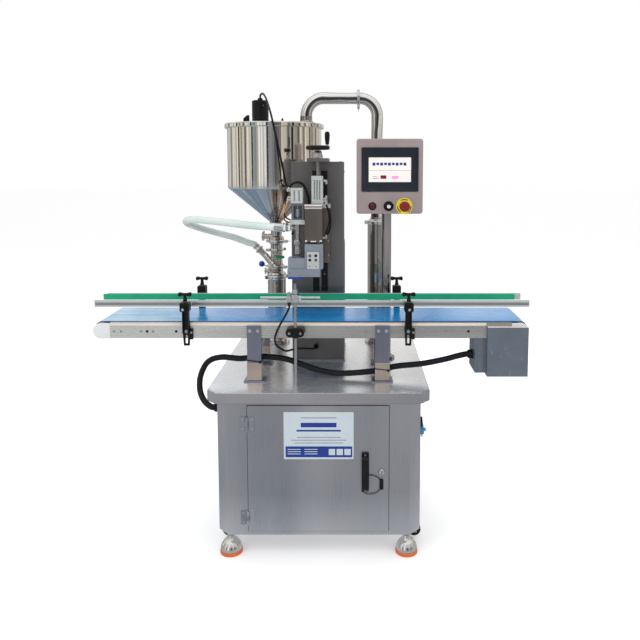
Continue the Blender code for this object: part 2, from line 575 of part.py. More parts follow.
def make_product_path():
    r, wall = HOPPER_RADIUS, 0.002
    turned("hopper",
           [(r, HOPPER_TOP), (r, HOPPER_SHOULDER), (0.026, HOPPER_OUTLET + 0.010), (0.026, HOPPER_OUTLET),
            (0.022, HOPPER_OUTLET), (0.022, HOPPER_OUTLET + 0.011), (r - wall, HOPPER_SHOULDER + 0.001),
            (r - wall, HOPPER_TOP)],
           HOPPER_AT, "polished_steel", sides=48, ring=True)
    rim = r + 0.0005
    lid = turned("hopper_lid",
                 [(0.0, LID_TOP), (0.200, LID_TOP - 0.001), (0.210, LID_TOP - 0.004), (0.210, LID_TOP - 0.023),
                  (rim, LID_TOP - 0.023), (rim, HOPPER_TOP + GAP), (0.0, HOPPER_TOP + GAP)],
                 HOPPER_AT, "polished_steel", sides=48)
    y = HOPPER_AT[1]
    cut(lid, rod("sensor_hole", (SENSOR_X, y, 1.50), (SENSOR_X, y, 1.60), 0.010))
    turned("level_sensor",
           [(0.0, SENSOR_TOP), (0.009, SENSOR_TOP), (0.011, SENSOR_TOP - 0.003), (0.012, SENSOR_TOP - 0.0095),
            (0.032, SENSOR_TOP - 0.011), (0.0355, SENSOR_TOP - 0.015), (0.0355, LID_TOP + 0.009),
            (0.033, LID_TOP + 0.0004), (0.008, LID_TOP + 0.0004), (0.008, 1.380), (0.0, 1.380)],
           (SENSOR_X, y), "black_plastic", sides=28)

    floor = TABLE_TOP + GAP
    pipe_x, riser_x = PIPE_X
    path = [Vector((pipe_x, y, LID_TOP + 0.004))]
    for centre_x, first in ((pipe_x + PIPE_BEND, math.pi), (riser_x - PIPE_BEND, math.pi / 2)):
        for step in range(7):
            angle = first - math.pi / 2 * step / 6
            path.append(Vector((centre_x + PIPE_BEND * math.cos(angle), y,
                                PIPE_TOP - PIPE_BEND + PIPE_BEND * math.sin(angle))))
    path.append(Vector((riser_x, y, 1.10)))
    pipe = meshed(tube("feed_pipe", path, PIPE_RADIUS, "polished_steel", resolution=4), "polished_steel")
    bend_start = riser_x - PIPE_BEND
    join(pipe,
         rod("lid_ferrule", (pipe_x, y, LID_TOP + 0.0004), (pipe_x, y, LID_TOP + 0.030), 0.031, sides=24),
         rod("pipe_clamp", (bend_start - 0.011, y, PIPE_TOP), (bend_start + 0.002, y, PIPE_TOP), 0.036,
             sides=24),
         rod("riser_clamp", (riser_x, y, RISER_TOP - 0.012), (riser_x, y, RISER_TOP + 0.012), 0.045,
             sides=24),
         rod("riser", (riser_x, y, floor), (riser_x, y, RISER_TOP), RISER_RADIUS, sides=24),
         rod("riser_flange", (riser_x, y, floor), (riser_x, y, floor + 0.010), 0.052, sides=24))

    x, y = VALVE_AT
    top, bottom = HOPPER_OUTLET - GAP, METER_TOP + GAP
    valve = turned("valve_body",
                   [(0.022, top), (0.043, top - 0.002), (0.043, top - 0.018), (0.024, top - 0.022),
                    (0.024, 1.046), (0.034, 1.042), (0.034, 1.028), (0.026, 1.024), (0.026, 0.950),
                    (0.038, 0.944), (0.038, 0.930), (0.030, 0.926), (0.030, 0.905), (0.043, 0.902),
                    (0.043, bottom), (0.018, bottom), (0.018, top)],
                   VALVE_AT, "polished_steel", sides=24, ring=True)
    branch_low = Vector((x - 0.010, y, 0.948))
    branch_end = Vector((x - 0.077, y, 1.015))
    join(valve,
         rod("outlet_branch", branch_low, branch_end, 0.0135),
         rod("side_port", (x - 0.015, y, 1.069), (x - 0.058, y, 1.069), 0.012),
         rod("side_port_cap", (x - 0.052, y, 1.069), (x - 0.062, y, 1.069), 0.019),
         rod("outlet_ferrule", branch_end + Vector((0.009, 0.0, -0.009)), branch_end, 0.020),
         rod("rotor_housing", (x, y, VALVE_AXIS_Z), (x, y - 0.036, VALVE_AXIS_Z), 0.015))
    cut(valve,
        rod("rotor_bore", (x, y - 0.010, VALVE_AXIS_Z), (x, y - 0.050, VALVE_AXIS_Z), 0.008, sides=16))
    rotor = rod("valve_lever", (x, y - 0.0165, VALVE_AXIS_Z), (x, y - 0.048, VALVE_AXIS_Z),
                0.008 - GAP, "lever_green", (x, y, VALVE_AXIS_Z), sides=16)
    join(rotor,
         block("lever_arm", (x - 0.008, x + 0.040), (y - 0.052, y - 0.044), around(VALVE_AXIS_Z, 0.006)))

    turned("metering_cylinder",
           [(METER_RADIUS, METER_TOP), (METER_RADIUS, floor + 0.012), (0.055, floor + 0.012),
            (0.055, floor), (0.009, floor), (0.009, floor + 0.010), (METER_BORE, floor + 0.010),
            (METER_BORE, METER_TOP)],
           VALVE_AT, "polished_steel", sides=32, ring=True)
    piston_r, rod_r = METER_BORE - GAP, 0.008
    turned("metering_piston",
           [(0.0, 0.665), (piston_r, 0.665), (piston_r, 0.640), (rod_r, 0.640), (rod_r, 0.400), (0.0, 0.400)],
           VALVE_AT, "polished_steel", sides=32)


def make_panel():
    box = block("operator_panel", PANEL_X, PANEL_Y, PANEL_Z, "panel_paint",
                (*POST_AT, sum(PANEL_Z) / 2), bevel=0.006)
    back = PANEL_Y[1]
    face = PANEL_Y[0]
    join(box,
         block("panel_neck", around(POST_AT[0], 0.020), (back - 0.010, POST_AT[1]), (1.270, 1.330)),
         rod("panel_collar", (*POST_AT, 1.265), (*POST_AT, 1.335), 0.030, sides=24))
    cut(box,
        rod("collar_bore", (*POST_AT, 1.20), (*POST_AT, 1.45), POST_RADIUS + GAP, sides=24),
        rod("stop_bore", (STOP_X, face - 0.01, BUTTON_Z), (STOP_X, face + 0.030, BUTTON_Z), 0.0085, sides=16),
        rod("selector_bore", (SELECTOR_X, face - 0.01, BUTTON_Z), (SELECTOR_X, face + 0.020, BUTTON_Z),
            0.0085, sides=16))
    floor = TABLE_TOP + GAP
    post = rod("panel_post", (*POST_AT, floor), (*POST_AT, POST_TOP), POST_RADIUS, "brushed_steel", sides=24)
    join(post, rod("post_flange", (*POST_AT, floor), (*POST_AT, floor + 0.008), 0.036, sides=24))

    stop = rod("stop_button", (STOP_X, face - 0.033, BUTTON_Z), (STOP_X, face - 0.020, BUTTON_Z), 0.017,
               "stop_red", (STOP_X, face, BUTTON_Z), end_radius=0.020, sides=24)
    join(stop,
         rod("stop_stem", (STOP_X, face - 0.025, BUTTON_Z), (STOP_X, face + 0.020, BUTTON_Z), 0.008,
             sides=16))
    x = SELECTOR_X
    selector = rod("selector_switch", (x, face - 0.010, BUTTON_Z), (x, face - GAP, BUTTON_Z), 0.014,
                   "black_plastic", (x, face, BUTTON_Z), sides=24)
    join(selector,
         block("selector_grip", around(x, 0.0045), (face - 0.022, face - 0.005), around(BUTTON_Z, 0.0125)),
         rod("selector_stem", (x, face - 0.005, BUTTON_Z), (x, face + 0.015, BUTTON_Z), 0.008, sides=16))


def make_bottle_sensor():
    x, y = -0.052, BELT_LINE - RAIL_OUT - 0.038
    stand = rod("sensor_stand", (x, y, TABLE_TOP + GAP), (x, y, 0.965), 0.005, "polished_steel", sides=16)
    join(stand,
         block("rail_clamp", (x - 0.030, x + 0.027), (y - 0.012, BELT_LINE - RAIL_OUT - GAP), (0.774, 0.808)),
         block("cross_clamp", around(x, 0.014), (y - 0.011, y + 0.032), (0.898, 0.926)),
         rod("cross_rod", (-0.176, y + 0.020, 0.912), (0.034, y + 0.020, 0.912), 0.004, sides=12),
         block("sensor_clamp", (x - 0.029, x - 0.013), around(y, 0.0095), (0.902, 0.921)),
         rod("bottle_sensor", (x - 0.021, y, 0.888), (x - 0.021, y, 0.935), 0.0065, sides=16))
    route = [
        (x - 0.021, y, 0.888 - GAP), (x - 0.021, y, 0.879), (-0.087, y - 0.001, 0.852),
        (-0.105, y - 0.001, 0.820), (-0.119, y, 0.790), (-0.125, y + 0.003, 0.766), (-0.121, y + 0.009, 0.745),
        (-0.107, y + 0.020, 0.729), (-0.091, y + 0.038, 0.715), (-0.077, -0.268, 0.709),
        (-0.061, -0.230, 0.702), (-0.043, -0.180, 0.690), (-0.021, -0.125, 0.674), (-0.004, -0.092, 0.664),
        (0.002, -0.070, 0.662), (0.002, COLUMN_FRONT - GAP, 0.662),
    ]
    tube("sensor_cable", smooth_route(route, 0.022), 0.0035, "black_plastic")
    hopper_y = HOPPER_AT[1]
    route = [
        (SENSOR_X, hopper_y, SENSOR_TOP + GAP), (SENSOR_X, hopper_y, 1.666), (-0.243, 0.224, 1.6735),
        (-0.230, 0.198, 1.674), (-0.213, 0.150, 1.654), (-0.199, 0.100, 1.630), (-0.187, 0.055, 1.606),
        (-0.171, 0.006, 1.567), (-0.160, -0.006, 1.520), (-0.149, -0.009, 1.475), (-0.139, -0.013, 1.425),
        (-0.129, -0.017, 1.380), (-0.1215, -0.019, 1.340), (-0.1165, -0.020, 1.310),
        (-0.109, -0.020, 1.2945), (-0.100, -0.020, 1.290), (COLUMN_X[0] - GAP, -0.020, 1.290),
    ]
    tube("level_sensor_cable", smooth_route(route, 0.022), 0.004, "black_plastic")


make_cabinet()
make_door()
make_conveyor()
make_stands()
make_guides()
make_drive()
make_column()
make_head()
make_nozzle()
make_product_path()
make_panel()
make_bottle_sensor()
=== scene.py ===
"""Looks of the piston liquid filler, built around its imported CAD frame.

Metres, +Z up. The belt runs along +X and the operator stands at -Y. Every piece is made in place,
in the frame's own coordinates, and rides on the CAD body that it belongs to.
"""
import math

import bmesh
import bpy
from mathutils import Matrix, Vector


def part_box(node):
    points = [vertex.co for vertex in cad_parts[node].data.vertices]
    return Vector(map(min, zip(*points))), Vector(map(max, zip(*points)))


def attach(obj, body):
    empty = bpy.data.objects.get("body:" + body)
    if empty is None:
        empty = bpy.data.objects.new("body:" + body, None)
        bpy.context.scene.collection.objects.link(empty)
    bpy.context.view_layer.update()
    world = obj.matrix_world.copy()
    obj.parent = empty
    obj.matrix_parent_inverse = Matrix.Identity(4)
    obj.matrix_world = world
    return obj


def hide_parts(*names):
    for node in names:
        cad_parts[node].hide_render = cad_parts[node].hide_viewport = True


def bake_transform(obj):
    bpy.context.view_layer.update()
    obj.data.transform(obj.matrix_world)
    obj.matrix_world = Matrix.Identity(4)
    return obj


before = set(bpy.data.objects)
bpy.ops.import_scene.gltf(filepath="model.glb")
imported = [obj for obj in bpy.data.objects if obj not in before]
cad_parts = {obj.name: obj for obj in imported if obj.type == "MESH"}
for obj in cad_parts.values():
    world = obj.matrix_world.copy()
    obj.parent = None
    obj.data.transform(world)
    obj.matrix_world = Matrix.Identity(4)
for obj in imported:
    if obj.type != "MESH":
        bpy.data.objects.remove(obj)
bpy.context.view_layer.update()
LOW = {node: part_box(node)[0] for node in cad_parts}
HIGH = {node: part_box(node)[1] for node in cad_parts}
MIDDLE = {node: (LOW[node] + HIGH[node]) / 2 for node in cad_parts}

GAP = 0.0003                        # between touching pieces
BELT_LINE = MIDDLE["conveyor_belt"].y
TABLE_TOP = HIGH["table_top"].z
NOZZLE_X = -0.055
ROD_HEIGHT = 0.875                  # of the rods that carry the guide rails
SIDES = (("front", -1), ("rear", 1))
TO_FRONT, UP = (0, -1, 0), (0, 0, 1)


# ---------------------------------------------------------------- camera
def make_camera():
    data = bpy.data.cameras.new("camera")
    data.lens, data.sensor_width = 36.5625, 36.0
    data.shift_x, data.shift_y = -0.05625, -0.1428
    camera = bpy.data.objects.new("camera", data)
    camera.location = (0.16, -2.568, 1.372)
    camera.rotation_euler = (math.radians(84.5), 0.0, 0.0)
    bpy.context.scene.collection.objects.link(camera)
    bpy.context.scene.camera = camera


# ---------------------------------------------------------------- shapes
def aim(at, direction, roll=0.0):
    """The matrix that takes +Z at the origin to a direction at a place."""
    turn = Vector(direction).to_track_quat("Z", "Y").to_matrix().to_4x4()
    return Matrix.Translation(Vector(at)) @ turn @ Matrix.Rotation(roll, 4, "Z")


def around(centre, half):
    return (centre - half, centre + half)


def inset(limits, amount):
    return (limits[0] + amount, limits[1] - amount)


def across(face, side, *depths):
    """Limits at some depths from a face, which looks to one side or the other."""
    return sorted(face + side * depth for depth in depths)


def foot_of(node):
    """The place on the floor below a node's middle."""
    return (MIDDLE[node].x, MIDDLE[node].y, 0.0)


def disc(radius, height, hole=0.0):
    """The profile of a flat disc, or of a washer with a hole."""
    return [(hole, height), (radius, height), (radius, 0.0), (hole, 0.0)]


def ease_edges(bm, width, segments=2, angle=0.6):
    """Round the edges that are sharper than an angle."""
    if width:
        sharp = [e for e in bm.edges if e.is_manifold and e.calc_face_angle(0.0) > angle]
        bmesh.ops.bevel(bm, geom=sharp, offset=width, segments=segments, profile=0.5, affect="EDGES",
                        clamp_overlap=True)
    return bm


def box(x, y, z, ease=0.0008, segments=2):
    """A box between the limits x, y and z."""
    centre = Vector((sum(x) / 2, sum(y) / 2, sum(z) / 2))
    size = (x[1] - x[0], y[1] - y[0], z[1] - z[0])
    bm = bmesh.new()
    bmesh.ops.create_cube(bm, size=1.0, matrix=Matrix.Diagonal((*size, 1.0)))
    ease_edges(bm, ease, segments)
    bm.transform(Matrix.Translation(centre))
    return bm


def rod(start, end, radius, sides=32, ease=0.0006):
    """A round or many-sided bar."""
    start, end = Vector(start), Vector(end)
    bm = bmesh.new()
    bmesh.ops.create_cone(bm, cap_ends=True, segments=sides, radius1=radius, radius2=radius,
                          depth=(end - start).length)
    ease_edges(bm, ease, angle=0.7)
    bm.transform(aim((start + end) / 2, end - start))
    return bm


def eased(profile, ease, ring=False):
    """A profile with each inner corner replaced by a short curve."""
    points = [Vector(p) for p in profile]
    count = len(points)
    made = [] if ring else [points[0]]
    for i in range(0 if ring else 1, count if ring else count - 1):
        before, corner, after = points[i - 1], points[i], points[(i + 1) % count]
        into, out = before - corner, after - corner
        straight = abs(into.angle(out, math.pi) - math.pi) < 0.2
        if straight or min(into.length, out.length) < 0.0004:
            made.append(corner)
            continue
        a = corner + into.normalized() * min(ease, into.length * 0.4)
        b = corner + out.normalized() * min(ease, out.length * 0.4)
        made += [a, (a + b) / 4 + corner / 2, b]
    return made if ring else [*made, points[-1]]


def lathe(profile, at=(0.0, 0.0, 0.0), direction=(0.0, 0.0, 1.0), steps=48, ease=0.0008):
    """A profile of (radius, height) turned about an axis. One that starts off the axis closes as a ring."""
    ring = profile[0][0] > 0.0
    bm = bmesh.new()
    verts = [bm.verts.new((p[0], 0.0, p[1])) for p in eased(profile, ease, ring)]
    edges = [bm.edges.new(pair) for pair in zip(verts, verts[1:])]
    if ring:
        edges.append(bm.edges.new((verts[-1], verts[0])))
    bmesh.ops.spin(bm, geom=verts + edges, cent=(0, 0, 0), axis=(0, 0, 1), angle=2 * math.pi,
                   steps=steps, use_merge=True)
    bmesh.ops.remove_doubles(bm, verts=bm.verts, dist=0.000001)
    bmesh.ops.recalc_face_normals(bm, faces=bm.faces)
    bm.transform(aim(at, direction))
    return bm


PLATE_TURNS = {
    "Z": Matrix.Identity(4),
    "Y": Matrix.Rotation(math.pi / 2, 4, "X"),
    "X": Matrix.Rotation(math.pi / 2, 4, "Z") @ Matrix.Rotation(math.pi / 2, 4, "X"),
}


def plate(outlines, low, high, axis="Z", ease=0.0008):
    """Flat outlines, the later ones holes, extruded from low to high: (x, y), (x, z) or (y, z) points."""
    curve = bpy.data.curves.new("outline", "CURVE")
    curve.dimensions, curve.fill_mode = "2D", "BOTH"
    curve.extrude, curve.bevel_depth, curve.offset = (high - low) / 2 - ease, ease, -ease
    curve.bevel_resolution = 1
    for outline in outlines:
        spline = curve.splines.new("POLY")
        spline.points.add(len(outline) - 1)
        spline.use_cyclic_u = True
        for point, (u, v) in zip(spline.points, outline):
            point.co = (u, v, 0.0, 1.0)
    holder = bpy.data.objects.new("outline", curve)
    bpy.context.scene.collection.objects.link(holder)
    bpy.context.view_layer.update()
    mesh = bpy.data.meshes.new_from_object(holder.evaluated_get(bpy.context.evaluated_depsgraph_get()))
    bm = bmesh.new()
    bm.from_mesh(mesh)
    bmesh.ops.remove_doubles(bm, verts=bm.verts, dist=0.000005)
    bmesh.ops.recalc_face_normals(bm, faces=bm.faces)
    place = Vector((0.0, 0.0, 0.0))
    place["XYZ".index(axis)] = (low + high) / 2
    bm.transform(Matrix.Translation(place) @ PLATE_TURNS[axis])
    bpy.data.objects.remove(holder, do_unlink=True)
    bpy.data.meshes.remove(mesh)
    bpy.data.curves.remove(curve)
    return bm


def arc(centre, radius, start, end, steps=8):
    """Points of an arc, its angles in degrees."""
    angles = [math.radians(start + (end - start) * i / steps) for i in range(steps + 1)]
    return [(centre[0] + radius * math.cos(a), centre[1] + radius * math.sin(a)) for a in angles]


def rounded(u, v, radius, steps=6):
    """A rectangle's outline with round corners."""
    (u0, u1), (v0, v1) = inset(u, radius), inset(v, radius)
    return (arc((u1, v0), radius, -90, 0, steps) + arc((u1, v1), radius, 0, 90, steps)
            + arc((u0, v1), radius, 90, 180, steps) + arc((u0, v0), radius, 180, 270, steps))


def slab(u, v, radius, low, high, axis="Z", ease=0.0008, steps=6):
    """A rectangular plate with round corners."""
    return plate([rounded(u, v, radius, steps)], low, high, axis, ease)


def circle(centre, radius, steps=32):
    return arc(centre, radius, 0, 360 * (steps - 1) / steps, steps - 1)


def smooth_route(points, spacing):
    """Points at about the given spacing on a smooth curve, with the first and last runs straight."""
    points = [Vector(p) for p in points]
    route = [points[0]]
    for a, b, c, d in zip(points, points[1:], points[2:], points[3:]):
        steps = max(1, round((c - b).length / spacing))
        for step in range(steps):
            t = step / steps
            route.append(0.5 * (2 * b + (c - a) * t + (2 * a - 5 * b + 4 * c - d) * t ** 2
                                + (3 * b - a - 3 * c + d) * t ** 3))
    return [*route, *points[-2:]]


def divided(points, spacing):
    """The same route with its long runs cut into short ones."""
    made = [points[0]]
    for a, b in zip(points, points[1:]):
        steps = max(1, round((b - a).length / spacing))
        made += [a.lerp(b, (i + 1) / steps) for i in range(steps)]
    return made


def route_length(points):
    return sum((b - a).length for a, b in zip(points, points[1:]))


def sweep(points, radius, sides=16, bore=0.0):
    """A bar or, with a bore, a tube along points. Its radius is a number or a function of the distance."""
    points = [Vector(p) for p in points]
    bm = bmesh.new()
    rings, inner_rings = [], []
    side = None
    travelled = 0.0
    for i, point in enumerate(points):
        ahead = (points[min(i + 1, len(points) - 1)] - points[max(i - 1, 0)]).normalized()
        side = ahead.orthogonal() if side is None else side - ahead * side.dot(ahead)
        side.normalize()
        other = ahead.cross(side)
        travelled += (point - points[i - 1]).length if i else 0.0
        turns = [2 * math.pi * k / sides for k in range(sides)]
        around_point = [side * math.cos(t) + other * math.sin(t) for t in turns]
        r = radius(travelled) if callable(radius) else radius
        rings.append([bm.verts.new(point + out * r) for out in around_point])
        if bore:
            inner_rings.append([bm.verts.new(point + out * bore) for out in around_point])
    joined = [pair for layer in (rings, inner_rings) for pair in zip(layer, layer[1:])]
    if bore:
        joined += [(rings[end], inner_rings[end]) for end in (0, -1)]
    for a, b in joined:
        for k in range(sides):
            bm.faces.new((a[k], a[(k + 1) % sides], b[(k + 1) % sides], b[k]))
    for end in () if bore else (0, -1):
        bm.faces.new(rings[end])
    bmesh.ops.recalc_face_normals(bm, faces=bm.faces)
    return bm


def socket_screw(at, direction, radius=0.004, height=0.004):
    """A round screw head with a socket, standing on a surface."""
    hole = radius * 0.5
    return lathe([(0.0, height * 0.4), (hole, height * 0.4), (hole, height), (radius, height),
                  (radius, 0.0), (0.0, 0.0)], at, direction, steps=20, ease=radius * 0.15)


def screws(xs, ys, zs, direction, radius, height):
    """Socket screws at every crossing of the places, where a number stands for a single place."""
    xs, ys, zs = ((places,) if isinstance(places, float) else places for places in (xs, ys, zs))
    return [socket_screw((x, y, z), direction, radius, height) for x in xs for y in ys for z in zs]


def hex_bolt(at, direction, radius=0.006, height=0.005):
    """A hexagon head on its washer."""
    at, direction = Vector(at), Vector(direction).normalized()
    washer = lathe(disc(radius * 1.5, 0.0015), at, direction, steps=24, ease=0.0003)
    return [washer, rod(at + direction * 0.0014, at + direction * height, radius, sides=6, ease=0.0005)]


def spread(centre, ring, z, start, count):
    """Places round a centre, the first at an angle in degrees."""
    turns = [math.radians(start + 360 / count * i) for i in range(count)]
    return [(centre[0] + ring * math.cos(t), centre[1] + ring * math.sin(t), z) for t in turns]


def wing_nut(at, direction, reach=0.014, roll=0.0):
    """A hub with two raised wings, its screw's end showing."""
    wing = [(0.003, 0.0)] + arc((reach * 0.72, reach * 0.62), reach * 0.3, -50, 170, 10) + [(0.002, 0.007)]
    matrix = aim(at, direction, roll)
    shapes = [lathe([(0.0, 0.009), (0.0035, 0.009), (0.0055, 0.0), (0.0, 0.0)], steps=16),
              rod((0, 0, 0.008), (0, 0, 0.014), 0.002, sides=12), plate([wing], -0.0013, 0.0013, "Y", 0.0005),
              plate([[(-u, v) for u, v in wing]], -0.0013, 0.0013, "Y", 0.0005)]
    for shape in shapes:
        shape.transform(matrix)
    return shapes


def clamp_ring(at, direction, radius, width=0.016, lug_angle=0.0, hinge_reach=0.009):
    """A sanitary clamp: a grooved ring in two halves, a hinge on one side and a wing nut on the other."""
    half = width / 2
    matrix = aim(at, direction, math.radians(lug_angle))
    ring = lathe([(radius, half * 0.55), (radius, -half * 0.55), (radius - 0.002, -half),
                  (radius - 0.008, -half), (radius - 0.008, half), (radius - 0.002, half)], steps=56,
                  ease=0.001)
    lugs = [box((radius - 0.003, radius + 0.013), around(side * 0.0052, 0.0036), around(0.0, half * 0.9))
            for side in (-1, 1)]
    screw = rod((radius + 0.008, -0.016, 0.0), (radius + 0.008, 0.012, 0.0), 0.0025, sides=16)
    pin = -radius - hinge_reach + 0.004
    hinge = [box((-radius - hinge_reach, -radius + 0.003), around(0.0, 0.008), around(0.0, half * 0.8)),
             rod((pin, 0.0, -half), (pin, 0.0, half), 0.0035, sides=16)]
    nut = wing_nut((radius + 0.008, 0.009, 0.0), (0, 1, 0), 0.013)
    shapes = [ring, *lugs, screw, *hinge, *nut]
    for shape in shapes:
        shape.transform(matrix)
    return shapes


def air_fitting(at, direction, bend, radius=0.005):
    """A push-in elbow for an air tube: a threaded foot and a branch towards bend."""
    at, direction, bend = Vector(at), Vector(direction).normalized(), Vector(bend).normalized()
    knee = at + direction * 0.011
    return [rod(at, at + direction * 0.005, radius * 1.1, sides=6, ease=0.0004),
            rod(at + direction * 0.004, knee + direction * radius * 0.8, radius * 0.85, sides=20),
            rod(knee - bend * radius * 0.5, knee + bend * 0.012, radius * 0.95, sides=20, ease=0.001)]


# ---------------------------------------------------------------- finishes
def tone(red, green, blue):
    """A colour given as it looks on screen, from 0 to 255, as the linear colour that a shader takes."""
    return tuple((c / 255 / 12.92) if c <= 10 else ((c / 255 + 0.055) / 1.055) ** 2.4
                 for c in (red, green, blue))


def add_node(tree, kind, inputs=None, **settings):
    """A shader node, its inputs given as values or as the sockets that feed them."""
    made = tree.nodes.new("ShaderNode" + kind)
    for key, value in settings.items():
        setattr(made, key, value)
    for key, value in (inputs or {}).items():
        if isinstance(value, bpy.types.NodeSocket):
            tree.links.new(value, made.inputs[key])
        else:
            made.inputs[key].default_value = value
    return made


class Look:
    """One Principled material and the nodes that vary it."""

    def __init__(self, name, colour, roughness, metallic=0.0, **constants):
        self.material = bpy.data.materials.new(name)
        self.material.use_nodes = True
        self.tree = self.material.node_tree
        self.shader = self.tree.nodes["Principled BSDF"]
        self.shader.inputs["Base Color"].default_value = (*colour, 1.0)
        self.shader.inputs["Roughness"].default_value = roughness
        self.shader.inputs["Metallic"].default_value = metallic
        for key, value in constants.items():
            self.shader.inputs[key.replace("_", " ")].default_value = value

    def node(self, kind, inputs=None, **settings):
        return add_node(self.tree, kind, inputs, **settings)

    def place(self, stretch=(1.0, 1.0, 1.0), offset=(0.0, 0.0, 0.0)):
        where = self.node("TexCoord").outputs["Object"]
        return self.node("Mapping", {"Vector": where, "Scale": stretch, "Location": offset}).outputs[0]

    def noise(self, stretch, detail=3.0):
        """Noise of this many bumps a metre, the same along every axis or one number for each."""
        stretch = stretch if isinstance(stretch, tuple) else (stretch,) * 3
        return self.node("TexNoise",
                         {"Vector": self.place(stretch), "Scale": 1.0, "Detail": detail}).outputs["Fac"]

    def math(self, operation, first, second):
        return self.node("Math", {0: first, 1: second}, operation=operation).outputs[0]

    def rolled_bands(self, at, scale):
        """Noise that runs round an upright axis, and the distances from that axis."""
        parts = self.node("SeparateXYZ", {0: self.place(offset=(-at[0], -at[1], 0.0))}).outputs
        rolled = self.node("CombineXYZ", {"X": self.math("ARCTAN2", parts["X"], parts["Y"])}).outputs[0]
        return self.node("TexNoise", {"Vector": rolled, "Scale": scale, "Detail": 4.0}).outputs["Fac"], parts

    def between(self, value, low, high, start=0.3, end=0.7):
        """The value carried from the range start..end to low..high."""
        return self.node("MapRange", {"Value": value, "From Min": start, "From Max": end, "To Min": low,
                                      "To Max": high}).outputs["Result"]

    def mix(self, factor, first, second, blend="MIX"):
        first, second = (c if isinstance(c, bpy.types.NodeSocket) else (*c, 1.0) for c in (first, second))
        return self.node("Mix", {0: factor, 6: first, 7: second}, data_type="RGBA", blend_type=blend).outputs[2]

    def feed(self, name, value):
        self.tree.links.new(value, self.shader.inputs[name])

    def bump(self, height, strength, distance):
        made = self.node("Bump", {"Height": height, "Strength": strength, "Distance": distance})
        self.feed("Normal", made.outputs["Normal"])


def shade(colour, factor):
    return tuple(min(1.0, c * factor) for c in colour)


def metal(name, colour, roughness, grain, streak, spread=0.16, warm=0.0, strength=0.12, metallic=1.0,
          painted_reflection_ramp=None):
    """Steel or aluminium with a brushed grain, broad soft streaks of random tone that also paint in
    reflections, an optional painted reflection ramp along one axis, and rougher patches of handling.
    """
    colour = tone(*colour)
    look = Look(name, colour, roughness, metallic)
    fine = look.noise(grain, 2.0)
    # broad: soft streaks of tone, partly random and partly painted reflection, warmer where lighter
    broad = look.between(look.noise(streak, 2.0), 0.0, 1.0)
    warmer = (colour[0] * (1 + warm), colour[1], colour[2] * (1 - warm))
    base = look.mix(broad, shade(colour, 1 - spread), shade(warmer, 1 + spread))
    lines = look.between(fine, 0.0, 1.0, 0.35, 0.65)
    tinted = look.mix(1.0, base, look.mix(lines, (0.965, 0.965, 0.965), (1.0, 1.0, 1.0)), "MULTIPLY")
    # painted reflection: the tone is multiplied from one level to another along one axis
    if painted_reflection_ramp:
        axis, start, end, first, last = painted_reflection_ramp
        level = look.node("SeparateXYZ", {0: look.place()}).outputs[axis]
        fade = look.between(level, 0.0, 1.0, start, end)
        tinted = look.mix(1.0, tinted, look.mix(fade, (first,) * 3, (last,) * 3), "MULTIPLY")
    look.feed("Base Color", tinted)
    patches = look.between(look.noise(9.0, 3.0), -0.15, 0.25)
    worn = look.math("ADD", look.between(fine, 0.85, 1.15), patches)
    look.feed("Roughness", look.math("MULTIPLY", worn, roughness))
    look.bump(fine, strength, 0.0002)
    return look.material


def plastic(name, colour, roughness, grain=900.0, spread=0.12, strength=0.15, wear=None, **constants):
    """Moulded plastic, rubber or paint with a fine grain, slight patches and worn spots of a second colour."""
    colour = tone(*colour)
    look = Look(name, colour, roughness, 0.0, **constants)
    patches = look.between(look.noise(14.0, 4.0), 0.0, 1.0)
    base = look.mix(patches, shade(colour, 1 - spread), shade(colour, 1 + spread))
    if wear:
        edges = look.between(look.noise(60.0, 5.0), 0.0, 0.6, 0.62, 0.75)
        base = look.mix(edges, base, tone(*wear))
    look.feed("Base Color", base)
    look.feed("Roughness", look.between(look.noise(40.0, 3.0), roughness * 0.85, min(1.0, roughness * 1.2)))
    look.bump(look.noise(grain, 2.0), strength, 0.0002)
    return look.material


def banded_steel(name, colour, roughness, spread, axis_at=None):
    """Polished steel whose tone is painted with soft light and dark reflection banding, which runs round an
    upright axis if one is given.
    """
    colour = tone(*colour)
    look = Look(name, colour, roughness, 1.0)
    painted_reflection_bands = look.rolled_bands(axis_at, 4.0)[0] if axis_at else look.noise((16.0, 16.0, 2.0), 3.0)
    # cool and warm: the darker and lighter tones of the painted reflection banding
    cool = shade((colour[0] * 0.96, colour[1], colour[2] * 1.03), 1 - spread)
    warm = shade((colour[0] * 1.03, colour[1], colour[2] * 0.95), 1 + spread)
    look.feed("Base Color", look.mix(look.between(painted_reflection_bands, 0.0, 1.0, 0.36, 0.64), cool, warm))
    look.feed("Roughness", look.between(look.noise(30.0, 4.0), roughness * 0.7, roughness * 1.5))
    look.bump(look.noise((400.0, 400.0, 60.0), 2.0), 0.04, 0.0001)
    return look.material


def cone_steel():
    """Polished sheet of the cone, its tone painted with reflections: cool streaks on the side towards the
    window, warm streaks on the side of the column.
    """
    look = Look("steel_cone", tone(150, 160, 178), 0.1, 1.0)
    painted_reflection_bands, parts = look.rolled_bands(MIDDLE["hopper"], 7.0)
    # side and streaks: painted reflections, cool on one side of the axis and warm on the other, in light and
    # dark bands round it
    side = look.between(parts["X"], 0.0, 1.0, -0.03, 0.012)
    streaks = look.between(painted_reflection_bands, 0.0, 1.0, 0.4, 0.6)
    cool = look.mix(streaks, tone(150, 170, 188), tone(188, 204, 216))
    warm = look.mix(streaks, tone(92, 74, 64), tone(240, 222, 206))
    look.feed("Base Color", look.mix(side, cool, warm))
    look.feed("Roughness", look.between(look.noise(30.0, 4.0), 0.06, 0.16))
    look.bump(look.noise((260.0, 260.0, 30.0), 2.0), 0.03, 0.0002)
    return look.material


